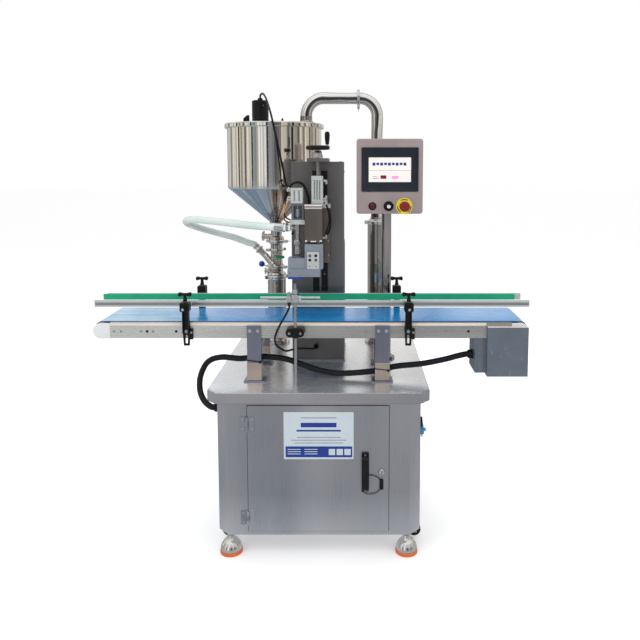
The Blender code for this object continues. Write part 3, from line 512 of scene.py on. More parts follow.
def pipe_steel():
    """Polished tube of the feed pipe, its tone painted with light and dark reflection lines that follow its
    bends.
    """
    look = Look("steel_pipe", tone(236, 233, 229), 0.1, 0.5)
    bend_centre = (0.099, 0.0, 1.48)
    # painted reflection: the tone follows how the normal faces away from the centre of the bends
    away = look.node("VectorMath", {0: look.place(), 1: bend_centre}, operation="SUBTRACT").outputs[0]
    flat = look.node("VectorMath", {0: away, 1: (1.0, 0.0, 1.0)}, operation="MULTIPLY").outputs[0]
    unit = look.node("VectorMath", {0: flat}, operation="NORMALIZE").outputs[0]
    normal = look.node("NewGeometry").outputs["Normal"]
    across = look.node("VectorMath", {0: normal, 1: unit}, operation="DOT_PRODUCT").outputs["Value"]
    wander = look.between(look.noise(7.0, 2.0), -0.05, 0.05)
    ramp = look.node("ValToRGB", {0: look.math("ADD", look.between(across, 0.0, 1.0, -1.0, 1.0), wander)})
    streaks = ramp.color_ramp
    streaks.elements[0].position, streaks.elements[0].color = 0.0, (*tone(150, 148, 146), 1.0)
    streaks.elements[1].position, streaks.elements[1].color = 1.0, (*tone(255, 254, 252), 1.0)
    for position, level in ((0.1, 214), (0.16, 120), (0.24, 235), (0.32, 110), (0.4, 70), (0.47, 40),
                            (0.55, 120),
                            (0.6, 235), (0.68, 250), (0.74, 196), (0.8, 255), (0.88, 150), (0.94, 235)):
        streaks.elements.new(position).color = (*tone(level, level, level), 1.0)
    # the painted reflection lines multiply the pipe's pale tone
    look.feed("Base Color", look.mix(1.0, tone(250, 246, 242), ramp.outputs[0], "MULTIPLY"))
    look.feed("Roughness", look.between(look.noise(30.0, 4.0), 0.06, 0.16))
    look.bump(look.noise((400.0, 400.0, 60.0), 2.0), 0.04, 0.0001)
    return look.material


def belt_finish():
    look = Look("belt_blue", tone(8, 104, 178), 0.26, Coat_Weight=0.6, Coat_Roughness=0.12)
    parts = look.node("SeparateXYZ", {0: look.place()}).outputs
    # along and pale: a painted sheen, paler blue at the left end up to X -0.56, fading into the belt's own deep
    # blue by X -0.38
    along = look.between(parts["X"], 0.0, 1.0, -0.56, -0.38)
    worn = look.between(look.noise((3.0, 40.0, 3.0), 4.0), 0.0, 1.0)
    deep = look.mix(worn, tone(0, 128, 202), tone(3, 144, 216))
    pale = look.mix(worn, tone(120, 180, 222), tone(178, 208, 232))
    look.feed("Base Color", look.mix(along, pale, deep))
    weave = look.node("TexVoronoi", {"Vector": look.place((600.0, 600.0, 600.0)), "Scale": 1.0}).outputs[0]
    look.feed("Roughness", look.between(look.noise((20.0, 60.0, 20.0), 3.0), 0.24, 0.4))
    look.bump(weave, 0.12, 0.0003)
    return look.material


def hose_finish():
    look = Look("hose_clear", tone(238, 246, 243), 0.22, Transmission_Weight=0.22, IOR=1.3,
                Coat_Weight=0.5, Coat_Roughness=0.08)
    cloud = look.between(look.noise(9.0, 2.0), 0.0, 1.0)
    look.feed("Base Color", look.mix(cloud, tone(212, 226, 220), tone(232, 241, 237)))
    look.feed("Roughness", look.between(look.noise(40.0, 2.0), 0.18, 0.28))
    return look.material


def screen_finish():
    look = Look("screen", tone(240, 236, 232), 0.25, Emission_Strength=0.42)
    glow = look.between(look.noise(12.0, 2.0), 0.0, 1.0)
    white = look.mix(glow, tone(205, 200, 198), tone(216, 208, 202))
    look.feed("Base Color", white)
    look.feed("Emission Color", white)
    return look.material


F = {
    # front: a painted reflection ramp, lighter below 0.06 m and darker above 0.24 m
    "front": metal("steel_front", (236, 237, 240), 0.3, (260.0, 260.0, 9.0), (4.0, 4.0, 0.4), 0.16, 0.03,
                   strength=0.035, painted_reflection_ramp=("Z", 0.06, 0.24, 1.06, 0.7)),
    "hinge": metal("steel_hinge", (190, 191, 194), 0.3, (260.0, 260.0, 9.0), 9.0, 0.12),
    "table": metal("steel_table", (238, 238, 239), 0.24, (9.0, 320.0, 320.0), (3.0, 1.2, 3.0), 0.05,
                   metallic=0.8,
                   strength=0.025),
    "rim": metal("steel_rim", (204, 201, 202), 0.28, (9.0, 320.0, 320.0), (2.2, 3.0, 3.0), 0.18, 0.02),
    # rail: a painted reflection ramp, paler towards the left end and darker from X 0 on
    "rail": metal("steel_rail", (216, 216, 212), 0.27, (8.0, 320.0, 320.0), (1.6, 2.0, 8.0), 0.16, 0.02,
                  metallic=0.72, painted_reflection_ramp=("X", -0.4, 0.0, 1.0, 0.62)),
    # stand bluish and sleeve warm: one steel, its two tints painted reflections
    "stand": metal("steel_stand", (158, 159, 172), 0.34, (240.0, 240.0, 9.0), (8.0, 8.0, 2.0), 0.16),
    "sleeve": metal("steel_sleeve", (222, 204, 190), 0.3, (240.0, 240.0, 9.0), (9.0, 9.0, 2.0), 0.14),
    # column: darker than the cabinet's steel, a painted dark reflection
    "column": metal("steel_column", (143, 140, 138), 0.4, (260.0, 260.0, 8.0), (7.0, 7.0, 0.7), 0.22, 0.03),
    "dark_steel": metal("steel_dark", (148, 139, 130), 0.36, (300.0, 300.0, 12.0), (9.0, 9.0, 2.0), 0.2, 0.04),
    "bare": metal("steel_bare", (198, 196, 192), 0.22, 60.0, 20.0, 0.12),
    "hopper": banded_steel("steel_hopper", (226, 223, 216), 0.055, 0.2, MIDDLE["hopper"]),
    "bright": metal("steel_bright", (244, 243, 241), 0.34, 60.0, 20.0, 0.06),
    "cone": cone_steel(),
    "polished": banded_steel("steel_polished", (208, 203, 197), 0.07, 0.24),
    "chrome": banded_steel("chrome", (232, 230, 228), 0.05, 0.06),
    "aluminium": metal("aluminium", (190, 194, 191), 0.38, (30.0, 30.0, 300.0), (10.0, 10.0, 4.0), 0.08),
    "anodised": plastic("aluminium_grey", (140, 149, 158), 0.4, 500.0, 0.06, 0.1, Metallic=0.4),
    "extruded": plastic("aluminium_pale", (190, 193, 191), 0.36, 500.0, 0.05, 0.1, Metallic=0.35),
    "pipe": pipe_steel(),
    "valve": banded_steel("steel_valve", (206, 200, 195), 0.06, 0.55, MIDDLE["metering_cylinder"]),
    "tube": banded_steel("steel_tube", (172, 168, 164), 0.09, 0.34),
    "brass": metal("nickel", (232, 231, 228), 0.28, 80.0, 20.0, 0.14),
    "panel": plastic("panel_paint", (164, 150, 149), 0.42, 500.0, 0.06, 0.1, Metallic=0.35),
    "cover": plastic("cover_paint", (94, 103, 114), 0.4, 500.0, 0.08, 0.14, (126, 134, 142),
                     Metallic=0.2),
    "black": plastic("black_plastic", (12, 12, 14), 0.36, 700.0, 0.25, 0.2, (26, 27, 30),
                     Specular_IOR_Level=0.35),
    "rubber": plastic("black_rubber", (10, 10, 12), 0.5, 600.0, 0.25, 0.25, (24, 24, 27),
                      Specular_IOR_Level=0.35),
    "conduit": plastic("conduit_black", (12, 12, 15), 0.38, 500.0, 0.25, 0.2, (28, 30, 34),
                       Specular_IOR_Level=0.4),
    "belt": belt_finish(),
    "belt_edge": plastic("belt_edge", (12, 40, 92), 0.5, 700.0, 0.2, 0.2),
    "green": plastic("guide_green", (0, 158, 110), 0.36, 500.0, 0.08, 0.12, (30, 176, 130)),
    "lever": plastic("lever_green", (0, 138, 84), 0.4, 500.0, 0.12, 0.12),
    "white": plastic("white_plastic", (206, 208, 209), 0.42, 600.0, 0.04, 0.12, (190, 190, 190)),
    "wear": plastic("wear_strip", (206, 196, 190), 0.4, 500.0, 0.05, 0.1),
    "orange": plastic("foot_orange", (206, 104, 52), 0.55, 500.0, 0.16, 0.25, (150, 70, 40)),
    "hose": hose_finish(),
    "screen": screen_finish(),
    "glass": plastic("bezel_glass", (22, 27, 36), 0.14, 120.0, 0.3, 0.02, Coat_Weight=0.6,
                     Coat_Roughness=0.08),
    "yellow": plastic("stop_yellow", (228, 206, 44), 0.4, 500.0, 0.06, 0.08),
    "red": plastic("stop_red", (120, 6, 12), 0.34, 500.0, 0.12, 0.08, Coat_Weight=0.3,
                   Coat_Roughness=0.15),
    "lamp": plastic("lamp_red", (76, 10, 16), 0.16, 200.0, 0.2, 0.05, Coat_Weight=0.6,
                    Coat_Roughness=0.05),
    "blue": plastic("knob_blue", (10, 58, 158), 0.28, 500.0, 0.12, 0.06, Coat_Weight=0.4,
                    Coat_Roughness=0.1),
    "cyan": plastic("valve_blue", (42, 132, 186), 0.35, 500.0, 0.1, 0.08),
    "amber": plastic("air_tube_amber", (196, 132, 58), 0.35, 300.0, 0.1, 0.06),
    "label": plastic("label_plate", (182, 193, 201), 0.34, 300.0, 0.03, 0.04),
    "label_blue": plastic("label_blue", (6, 48, 136), 0.36, 300.0, 0.08, 0.04),
    "label_grey": plastic("label_grey", (120, 130, 150), 0.4, 300.0, 0.08, 0.04),
    "pink": plastic("screen_pink", (232, 150, 214), 0.4, 300.0, 0.05, 0.02),
}


# ---------------------------------------------------------------- pieces
SHARP_ANGLE, SHARP_ANGLE_CAD = math.radians(38), math.radians(40)
WELD_REACH = 0.00001


def piece(name, body, parts, replaces=()):
    """One object from (finish, shapes) pairs, on the body that it belongs to. Without a body it stays loose."""
    bm = bmesh.new()
    finishes = []
    for finish, shapes in parts:
        if finish not in finishes:
            finishes.append(finish)
        for shape in shapes if isinstance(shapes, list) else [shapes]:
            for face in shape.faces:
                face.material_index = finishes.index(finish)
            scratch = bpy.data.meshes.new("scratch")
            shape.to_mesh(scratch)
            shape.free()
            bm.from_mesh(scratch)
            bpy.data.meshes.remove(scratch)
    mesh = bpy.data.meshes.new(name)
    bm.to_mesh(mesh)
    bm.free()
    mesh.shade_smooth()
    mesh.set_sharp_from_angle(angle=SHARP_ANGLE)
    for finish in finishes:
        mesh.materials.append(F[finish])
    obj = bpy.data.objects.new(name, mesh)
    bpy.context.scene.collection.objects.link(obj)
    obj.modifiers.new("normals", "WEIGHTED_NORMAL").keep_sharp = True
    if body:
        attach(obj, body)
    if replaces:
        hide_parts(*replaces)
    return obj


def dress(finish, *nodes, ease=0.001, slot=None):
    """Give CAD nodes that stay visible their material and softened edges."""
    for node in nodes:
        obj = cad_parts[node]
        for material_slot in obj.material_slots:
            material_slot.material = F[finish]
        weld = obj.modifiers.new("weld", "WELD")
        weld.merge_threshold = WELD_REACH
        if ease:
            edge = obj.modifiers.new("edge", "BEVEL")
            edge.width, edge.segments, edge.limit_method = ease, 2, "ANGLE"
            edge.angle_limit = SHARP_ANGLE_CAD
            edge.harden_normals = True


# ---------------------------------------------------------------- cords
HOSE_ROUTE = [
    (-0.0813, -0.179, 1.146), (-0.105, -0.179, 1.146), (-0.164, -0.16, 1.147), (-0.225, -0.147, 1.15),
    (-0.283, -0.135, 1.155), (-0.372, -0.1, 1.162), (-0.472, -0.048, 1.165), (-0.52, 0.03, 1.152),
    (-0.53, 0.11, 1.133), (-0.491, 0.172, 1.108), (-0.437, 0.212, 1.086), (-0.367, 0.23, 1.064),
    (-0.315, 0.232, 1.044), (-0.28, 0.232, 1.033), (-0.2623, 0.232, 1.0153),
]


def make_cords():
    """The conduit, the product hose and the two sensor cables, along the routes of their CAD solids."""
    box_side, wall_side = 0.585 - GAP, -0.325 - GAP
    conduit_route = [
        (box_side, -0.248, 0.689), (0.565, -0.248, 0.689), (0.53, -0.25, 0.682), (0.48, -0.254, 0.67),
        (0.4, -0.256, 0.655), (0.305, -0.256, 0.645), (0.23, -0.262, 0.63), (0.11, -0.266, 0.622),
        (0.03, -0.264, 0.632), (-0.045, -0.256, 0.655), (-0.105, -0.251, 0.673), (-0.19, -0.252, 0.68),
        (-0.26, -0.256, 0.674), (-0.33, -0.262, 0.681), (-0.378, -0.266, 0.664), (-0.403, -0.274, 0.615),
        (-0.402, -0.292, 0.568), (-0.382, -0.315, 0.537), (-0.355, -0.33, 0.521), (-0.34, -0.332, 0.52),
        (wall_side, -0.332, 0.52),
    ]
    points = divided(smooth_route(conduit_route, 0.01), 0.0014)
    pitch, groove = 0.0042, 0.0007

    def ribbed(distance):
        return 0.011 - groove * (0.5 - 0.5 * math.cos(2 * math.pi * distance / pitch))

    conduit = piece("motor_conduit_ribbed", "machine", [("conduit", sweep(points, ribbed, 20))],
                    ["motor_conduit"])
    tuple(conduit_route[0])
    route_length(points)

    points = smooth_route(HOSE_ROUTE, 0.008)
    hose = piece("product_hose_tube", None, [("hose", sweep(points, 0.014, 28, bore=0.0105))],
                 ["product_hose"])
    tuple(HOSE_ROUTE[0])
    route_length(points)
    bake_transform(hose)

    sensor_route = [
        (-0.073, -0.338, 0.888 - GAP), (-0.073, -0.338, 0.879), (-0.087, -0.339, 0.852),
        (-0.105, -0.339, 0.82), (-0.119, -0.338, 0.79), (-0.125, -0.335, 0.766), (-0.121, -0.329, 0.745),
        (-0.107, -0.318, 0.729), (-0.091, -0.3, 0.715), (-0.077, -0.268, 0.709), (-0.061, -0.23, 0.702),
        (-0.043, -0.18, 0.69), (-0.021, -0.125, 0.674), (-0.004, -0.092, 0.664), (0.002, -0.07, 0.662),
        (0.002, -0.0503, 0.662),
    ]
    points = smooth_route(sensor_route, 0.006)
    cable = piece("bottle_sensor_cable", "machine", [("rubber", sweep(points, 0.0035, 14))],
                  ["sensor_cable"])
    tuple(sensor_route[0])
    route_length(points)

    level_route = [
        (-0.247, 0.232, 1.66 + GAP), (-0.247, 0.232, 1.666), (-0.243, 0.224, 1.6735),
        (-0.23, 0.198, 1.674), (-0.213, 0.15, 1.654), (-0.199, 0.1, 1.63), (-0.187, 0.055, 1.606),
        (-0.171, 0.006, 1.567), (-0.16, -0.006, 1.52), (-0.149, -0.009, 1.475), (-0.139, -0.013, 1.425),
        (-0.129, -0.017, 1.38), (-0.1215, -0.019, 1.34), (-0.1165, -0.02, 1.31),
        (-0.109, -0.02, 1.2945), (-0.1, -0.02, 1.29), (-0.0913, -0.02, 1.29),
    ]
    points = smooth_route(level_route, 0.006)
    cable = piece("level_sensor_lead", "machine", [("rubber", sweep(points, 0.004, 14))],
                  ["level_sensor_cable"])
    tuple(level_route[0])
    route_length(points)
    make_cord_ends()


def make_cord_ends():
    """Glands where the conduit and the sensor's cable go into the housings."""
    def gland(at, direction, radius):
        """A hexagon foot, a dome nut and a soft collar round a cord."""
        inner = radius + 0.0002
        return [lathe([(inner, 0.0), (radius + 0.006, 0.0), (radius + 0.006, 0.005), (radius + 0.005, 0.006),
                       (radius + 0.005, 0.013), (radius + 0.002, 0.018), (inner, 0.018)], at, direction,
                       steps=28)]

    box_side = LOW["gearmotor_cover"].x
    piece("conduit_glands", "machine", [("black", [
        *gland((box_side, -0.248, 0.689), (-1, 0, 0), 0.0112),
        *gland((LOW["cabinet_shell"].x, -0.332, 0.52), (-1, 0, 0), 0.0112)])])
    piece("sensor_cable_glands", "machine", [("black", [
        *gland((0.002, -0.05, 0.662), TO_FRONT, 0.0036)])])


# ---------------------------------------------------------------- cabinet
def make_cabinet():
    dress("front", "cabinet_shell", "cabinet_door", ease=0.0016, slot="brushed_steel")
    dress("rim", "table_top", ease=0.0022, slot="brushed_steel")
    dress("hinge", "door_hinge_lower", "door_hinge_upper", ease=0.0005, slot="brushed_steel")
    table_low, table_high = LOW["table_top"], HIGH["table_top"]
    corner = 0.0345
    top = [(table_low.x + corner, table_low.y), (table_high.x - corner, table_low.y),
           (table_high.x, table_low.y + corner), (table_high.x, table_high.y - corner),
           (table_high.x - corner, table_high.y), (table_low.x + corner, table_high.y),
           (table_low.x, table_high.y - corner), (table_low.x, table_low.y + corner)]
    middle = MIDDLE["table_top"]
    top = [(middle.x + (u - middle.x) * 0.995, middle.y + (v - middle.y) * 0.995) for u, v in top]
    at = MIDDLE["metering_piston"]
    piece("table_surface", "machine", [
        ("table", plate([top, circle((at.x, at.y), 0.012, 24)], TABLE_TOP - 0.0006, TABLE_TOP + 0.0002,
                        ease=0.0003))])
    hinge_x = MIDDLE["door_hinge_upper"].x
    for level in ("lower", "upper"):
        z = MIDDLE[f"door_hinge_{level}"].z
        front = LOW["cabinet_shell"].y - 0.0033
        axis_x = hinge_x + 0.0107
        for name, body, u, v in (("hinge_screws", "machine", axis_x - 0.0165, front),
                                 ("hinge_door_screws", "door", axis_x + 0.0165, front - 0.0012)):
            piece(f"{name}_{level}", body,
                  [("chrome", screws(u, v, around(z, 0.017), TO_FRONT, 0.0032, 0.0014))])
    make_label(LOW["cabinet_shell"].y - 0.0015)
    make_handle(LOW["cabinet_shell"].y - 0.0015)
    make_lock()
    make_air_inlet()


def make_label(face):
    """A plate with plain bands and blocks, without lettering."""
    def mark(x, z):
        return slab(x, z, 0.0012, face - 0.0015, face - 0.001, "Y", 0.0001, 3)

    lines = [mark(around(0.0315, w / 2), (h, h + 0.0024))
             for w, h in ((0.15, 0.441), (0.19, 0.431), (0.168, 0.421))]
    heading = [mark((-0.045, 0.108), (0.463, 0.469)), mark((-0.03, 0.093), (0.478, 0.494))]
    band = slab((-0.083, 0.147), (0.371, 0.41), 0.002, face - 0.0014, face - 0.001, "Y", 0.0001)
    piece("label_plate", "door", [
        ("label", slab((-0.089, 0.152), (0.364, 0.532), 0.004, face - 0.0012, face + 0.0002, "Y", 0.0003)),
        ("label_blue", [band, *heading]), ("label_grey", [*lines, mark((-0.03, 0.093), (0.51, 0.513))])])
    on_band = (face - 0.0017, face - 0.0012, "Y", 0.0001, 3)
    blocks = [slab((left, left + 0.022), (0.379, 0.401), 0.0012, *on_band) for left in (0.066, 0.093, 0.12)]
    blocks += [slab((left, left + 0.045), (h, h + 0.0025), 0.0008, *on_band)
               for left in (-0.076, -0.018) for h in (0.382, 0.39, 0.398)]
    piece("label_blocks", "door", [("label", blocks)])


def make_handle(face):
    low, high = LOW["door_handle"], HIGH["door_handle"]
    near, far = face - GAP, low.y
    z0, z1 = low.z, high.z
    bow = ([(near, z0), (near, z0 + 0.02)]
           + arc((near - 0.01, z0 + 0.033), 0.01, 300, 200, 5)[1:]
           + [(far + 0.009, z0 + 0.04), (far + 0.009, z1 - 0.04)]
           + arc((near - 0.01, z1 - 0.033), 0.01, 160, 60, 5)[:-1]
           + [(near, z1 - 0.02), (near, z1)]
           + arc((far + 0.016, z1 - 0.024), 0.016, 75, 180, 7)
           + arc((far + 0.016, z0 + 0.024), 0.016, 180, 285, 7))
    ends = screws(MIDDLE["door_handle"].x, near - 0.0085, inset((z0, z1), 0.008), TO_FRONT, 0.0045, 0.002)
    pads = [slab((low.x, high.x), (z - 0.009, z + 0.009), 0.003, near - 0.009, near, "Y", 0.001)
            for z in (z0 + 0.0095, z1 - 0.0095)]
    piece("door_handle_bow", "door", [("black", [plate([bow], low.x, high.x, "X", 0.0018), *pads]),
                                      ("chrome", ends)], ["door_handle"])


def make_lock():
    """Cam lock with its key, a tag and a wire ring that hang from it."""
    low = LOW["door_lock"]
    at = Vector((0.249, LOW["cabinet_door"].y, 0.318))
    front = Vector((at.x, low.y, at.z))
    back_y = HIGH["door_lock"].y
    barrel = lathe([(0.0, 0.0065), (0.0035, 0.0065), (0.0055, 0.008), (0.0095, 0.0078), (0.011, 0.005),
                    (0.011, -0.012), (0.0088, -0.013), (0.0088, -0.03), (0.0, -0.03)],
                   front + Vector((0, 0.008, 0)), TO_FRONT, steps=40)
    cam = box(around(at.x, 0.007), (back_y - 0.003, back_y), (at.z - 0.045, at.z), 0.0006)
    slot_bar = box(around(at.x, 0.0008), (front.y + 0.0002, front.y + 0.003), around(at.z, 0.004), 0.0002)
    key_bow = plate([circle((at.x, at.z - 0.012), 0.0085, 24), circle((at.x, at.z - 0.016), 0.0022, 12)],
                    front.y, front.y + 0.0022, "Y", 0.0004)
    piece("door_lock_barrel", "lock", [("chrome", [barrel]), ("bare", [cam, key_bow]), ("black", [slot_bar])],
          ["door_lock"])
    tag_y = front.y + 0.003
    tag = slab((at.x - 0.008, at.x + 0.006), (at.z - 0.062, at.z - 0.026), 0.004, *around(tag_y, 0.0018), "Y",
               0.0006)
    middle = Vector((at.x - 0.04, tag_y, at.z - 0.045))
    ring = [middle + Vector((0.04 * math.cos(t), 0.0, 0.034 * math.sin(t)))
            for t in [math.radians(a) for a in range(-140, 111, 10)]]
    piece("key_tag_and_wire", "door", [("black", [tag]), ("rubber", [sweep(ring, 0.0011, 10)])])


def make_air_inlet():
    """The small shut-off valve of the compressed air, on the cabinet's right side."""
    x = HIGH["cabinet_shell"].x
    y, z = -0.32, 0.43
    piece("air_inlet_valve", "machine", [
        ("cyan", [box((x + 0.004, x + 0.017), around(y, 0.009), around(z, 0.012), 0.002),
                  rod((x + 0.01, y, z + 0.012), (x + 0.01, y, z + 0.02), 0.006, sides=24)]),
        ("black", [rod((x, y, z + 0.018), (x + 0.012, y, z + 0.018), 0.006, sides=24),
                   lathe(disc(0.0045, 0.034), (x + 0.01, y, z + 0.016), (-0.1, 0, 1), steps=20),
                   rod((x, y, z), (x + 0.005, y, z), 0.007, sides=24)]),
        ("anodised", [lathe([(0.0, 0.008), (0.006, 0.008), (0.007, 0.0), (0.0, 0.0)], (x + 0.016, y, z + 0.003),
                            (1, 0, 0.1), steps=24)]),
        ("white", [lathe([(0.0, 0.012), (0.0035, 0.012), (0.005, 0.0), (0.0, 0.0)], (x + 0.01, y, z - 0.011),
                         (0, 0, -1), steps=20)]),
    ])


def make_feet():
    """Levelling feet on threaded stems, and the castors that the feet lift off the floor."""
    floor = LOW["cabinet_shell"].z
    for node in sorted(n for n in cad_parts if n.startswith("leveling_foot")):
        at = foot_of(node)
        thread = [(0.0075 - 0.0009 * (i % 2), 0.046 + 0.0011 * i) for i in range(36)]
        piece(f"{node}_parts", "machine", [
            ("orange", lathe([(0.0, 0.014), (0.0385, 0.014), (0.04, 0.01), (0.0394, 0.0), (0.0, 0.0)], at,
                             steps=56, ease=0.0012)),
            ("chrome", lathe([(0.0, 0.064), (0.0125, 0.064), (0.014, 0.058), (0.019, 0.05), (0.0275, 0.042),
                              (0.034, 0.032), (0.0375, 0.022), (0.0385, 0.0138), (0.0, 0.0138)], at,
                             steps=56, ease=0.002)),
            ("bare", [lathe([(0.0, 0.0855), *reversed(thread), (0.0, 0.046)], at, steps=24, ease=0.0),
                      rod((at[0], at[1], floor - 0.0105), (at[0], at[1], floor - GAP), 0.0145, sides=6,
                          ease=0.001),
                      rod((at[0], at[1], 0.0635), (at[0], at[1], 0.07), 0.0115, sides=6, ease=0.001)]),
        ], [node])
    wheel, rise = 0.024, 0.006
    for side_x, x in (("left", LOW["cabinet_shell"].x + 0.014), ("right", HIGH["cabinet_shell"].x - 0.01)):
        for side_y, y in (("front", LOW["cabinet_shell"].y + 0.139), ("rear", HIGH["cabinet_shell"].y - 0.139)):
            out = 1 if side_x == "right" else -1
            hub = Vector((x, y, wheel + rise))
            tread = lathe([(0.006, 0.008), (wheel - 0.004, 0.009), (wheel, 0.006), (wheel, -0.006),
                           (wheel - 0.004, -0.009), (0.006, -0.008)], hub, (0, 1, 0), steps=40, ease=0.002)
            core = lathe([(0.0, 0.0095), (0.0065, 0.0095), (0.0065, -0.0095), (0.0, -0.0095)], hub, (0, 1, 0),
                         steps=24)
            fork = [box(around(x - out * 0.004, 0.013), around(y + side * 0.012, 0.0014),
                        (wheel + rise - 0.008, 0.07), 0.0006) for side in (-1, 1)]
            head = [box(around(x - out * 0.004, 0.013), around(y, 0.0134), (0.0685, 0.0715), 0.0008),
                    rod((x - out * 0.004, y, 0.071), (x - out * 0.004, y, 0.084), 0.012, sides=28),
                    box(around(x - out * 0.014, 0.022), around(y, 0.024), (0.084, floor - GAP), 0.0006)]
            piece(f"castor_{side_y}_{side_x}", "machine",
                  [("rubber", tread), ("white", core), ("bare", fork + head)])


# ---------------------------------------------------------------- conveyor
def make_conveyor():
    dress("rail", "side_rail_front", "side_rail_rear", ease=0.001, slot="brushed_steel")
    dress("rail", "slider_bed", ease=0.0008, slot="brushed_steel")
    dress("bare", "drive_roller", "idle_roller", ease=0.0008, slot="brushed_steel")
    dress("stand", "conveyor_stand_left", "conveyor_stand_right", ease=0.0014, slot="brushed_steel")
    dress("green", "guide_strip", ease=0.0012, slot="guide_green")
    make_belt()
    low, high = LOW["side_rail_front"], HIGH["side_rail_front"]
    end_low, middle_z, radius = low.x, (low.z + high.z) / 2, (high.z - low.z) / 2
    cap_length = 0.06
    for name, side in SIDES:
        rail_low, rail_high = LOW[f"side_rail_{name}"], HIGH[f"side_rail_{name}"]
        face = rail_low.y if side < 0 else rail_high.y
        for end_name, end in (("left", -1), ("right", 1)):
            centre = end * (abs(end_low) - radius)
            cap = ([(end * (abs(end_low) - cap_length), middle_z - radius - 0.0008)]
                   + arc((centre, middle_z), radius + 0.0008, -90, 90 if end > 0 else -270, 16)
                   + [(end * (abs(end_low) - cap_length), middle_z + radius + 0.0008)])
            piece(f"rail_cap_{name}_{end_name}", "machine", [
                ("white", plate([cap], *across(face, side, 0.0022, -0.0055), "Y", 0.001))])
        span = (end_low + cap_length, 0.624)
        strip_y = across(face, side, 0.0014, -0.0065)
        piece(f"wear_strip_{name}", "machine", [
            ("wear", box(span, strip_y, (rail_high.z - 0.0085, rail_high.z + 0.0004), 0.0012, segments=3))])
        seam_y = across(face, side, 0.0003, -0.001)
        piece(f"rail_fold_{name}", "machine", [
            ("rail", [box(span, seam_y, (rail_low.z + 0.0006, rail_low.z + 0.0035), 0.0003)])])
        places = (-0.7016, -0.6757, -0.6048, -0.5621, 0.1955, 0.295, 0.48)
        studs = [part for x in (-0.5835, -0.48, 0.56)
                 for part in hex_bolt((x, face, 0.786), (0, side, 0), 0.003, 0.0026)]
        piece(f"rail_screws_{name}", "machine", [
            ("bare", screws(places, face, 0.786, (0, side, 0), 0.004, 0.0016)), ("black", studs)])
    make_stands()


def make_belt():
    low, high = LOW["conveyor_belt"], HIGH["conveyor_belt"]
    radius = (high.z - low.z) / 2
    centre_z, reach, thick = (high.z + low.z) / 2, high.x - radius, 0.002

    def loop(r):
        return arc((reach, centre_z), r, -90, 90, 24) + arc((-reach, centre_z), r, 90, 270, 24)

    edge = 0.0022
    outer, inner = loop(radius), loop(radius - thick)
    rims = [plate([outer, inner], *limits, "Y", 0.0005)
            for limits in ((low.y, low.y + edge), (high.y - edge, high.y))]
    seam_x = -0.31
    seam = box((seam_x, seam_x + 0.0012), (low.y + edge, high.y - edge), (high.z - 0.0004, high.z - 0.00002),
               0.0)
    piece("conveyor_belt_loop", "machine", [
        ("belt", plate([outer, inner], low.y + edge, high.y - edge, "Y", 0.0002)),
        ("belt_edge", [*rims, seam]),
    ], ["conveyor_belt"])


def make_stands():
    """Bolts, lower sleeves and cable ties on the two frames that carry the conveyor."""
    for name in ("left", "right"):
        node = f"conveyor_stand_{name}"
        x = MIDDLE[node].x
        sleeves, bolts = [], []
        for side in (-1, 1):
            face = BELT_LINE + side * 0.127
            inner = face - side * 0.028
            y = sorted((face + side * 0.0015, inner - side * 0.0015))
            sleeves.append(box(around(x, 0.0262), y, (TABLE_TOP + 0.0058, 0.6725), 0.0016, segments=3))
            for dx in (-0.014, 0.014):
                bolts += hex_bolt((x + dx, face, 0.789), (0, side, 0), 0.0042, 0.0046)
        piece(f"stand_sleeves_{name}", "machine", [("sleeve", sleeves), ("chrome", bolts)])
        face = BELT_LINE - 0.127
        tie_z = {"left": 0.68, "right": 0.649}[name]
        tie = [Vector((x + dx, face + dy, tie_z + dz)) for dx, dy, dz in (
            (-0.0275, 0.031, 0.004), (-0.0275, -0.002, 0.003), (-0.0265, -0.0032, 0.003),
            (0.0265, -0.0032, -0.004),
            (0.0275, -0.002, -0.004), (0.0275, 0.031, -0.003), (0.0265, 0.0315, -0.003),
            (-0.0265, 0.0315, 0.004),
            (-0.0275, 0.031, 0.004))]
        head = box(around(x + 0.021, 0.004), (face - 0.0065, face - 0.0015), around(tie_z - 0.0035, 0.0035),
                   0.0008)
        piece(f"cable_tie_{name}", "machine", [("black", [sweep(divided(tie, 0.004), 0.0014, 8), head])])


# ---------------------------------------------------------------- bottle guides
def make_guides():
    for name, side in SIDES:
        node = f"guide_rail_{name}"
        low, high = LOW[node], HIGH[node]
        inner = low.y if side > 0 else high.y
        outer = inner + side * 0.008
        z0, z1 = MIDDLE[node].z - 0.012, MIDDLE[node].z + 0.012
        profile = [(inner, z0), (outer, z0), (outer, z0 + 0.0055), (outer - side * 0.0035, z0 + 0.0055),
                   (outer - side * 0.0035, z1 - 0.008), (outer, z1 - 0.008), (outer, z1), (inner, z1)]
        rail = plate([profile], low.x, high.x, "X", 0.0007)
        rods, ends = [], []
        rod_end = low.y if side < 0 else high.y
        for x in bracket_places(name):
            rods.append(rod((x, outer - side * 0.004, ROD_HEIGHT), (x, rod_end, ROD_HEIGHT), 0.005, ease=0.001))
            ends.append(lathe([(0.0, 0.004), (0.006, 0.004), (0.008, 0.0), (0.0, 0.0)],
                              (x, outer - side * 0.0036, ROD_HEIGHT), (0, side, 0), steps=24))
        groove = box(inset((low.x, high.x), 0.001), across(outer, side, -0.0036, -0.003),
                     (z0 + 0.006, z1 - 0.0085), 0.0001)
        piece(f"{node}_profile", f"{name}_guide", [("extruded", [rail]), ("chrome", rods + ends),
                                                   ("aluminium", [groove])], [node])
        for end, x in zip(("left", "right"), bracket_places(name)):
            make_bracket(name, side, end, x)


def bracket_places(name):
    return [MIDDLE[f"guide_bracket_{name}_{end}"].x for end in ("left", "right")]


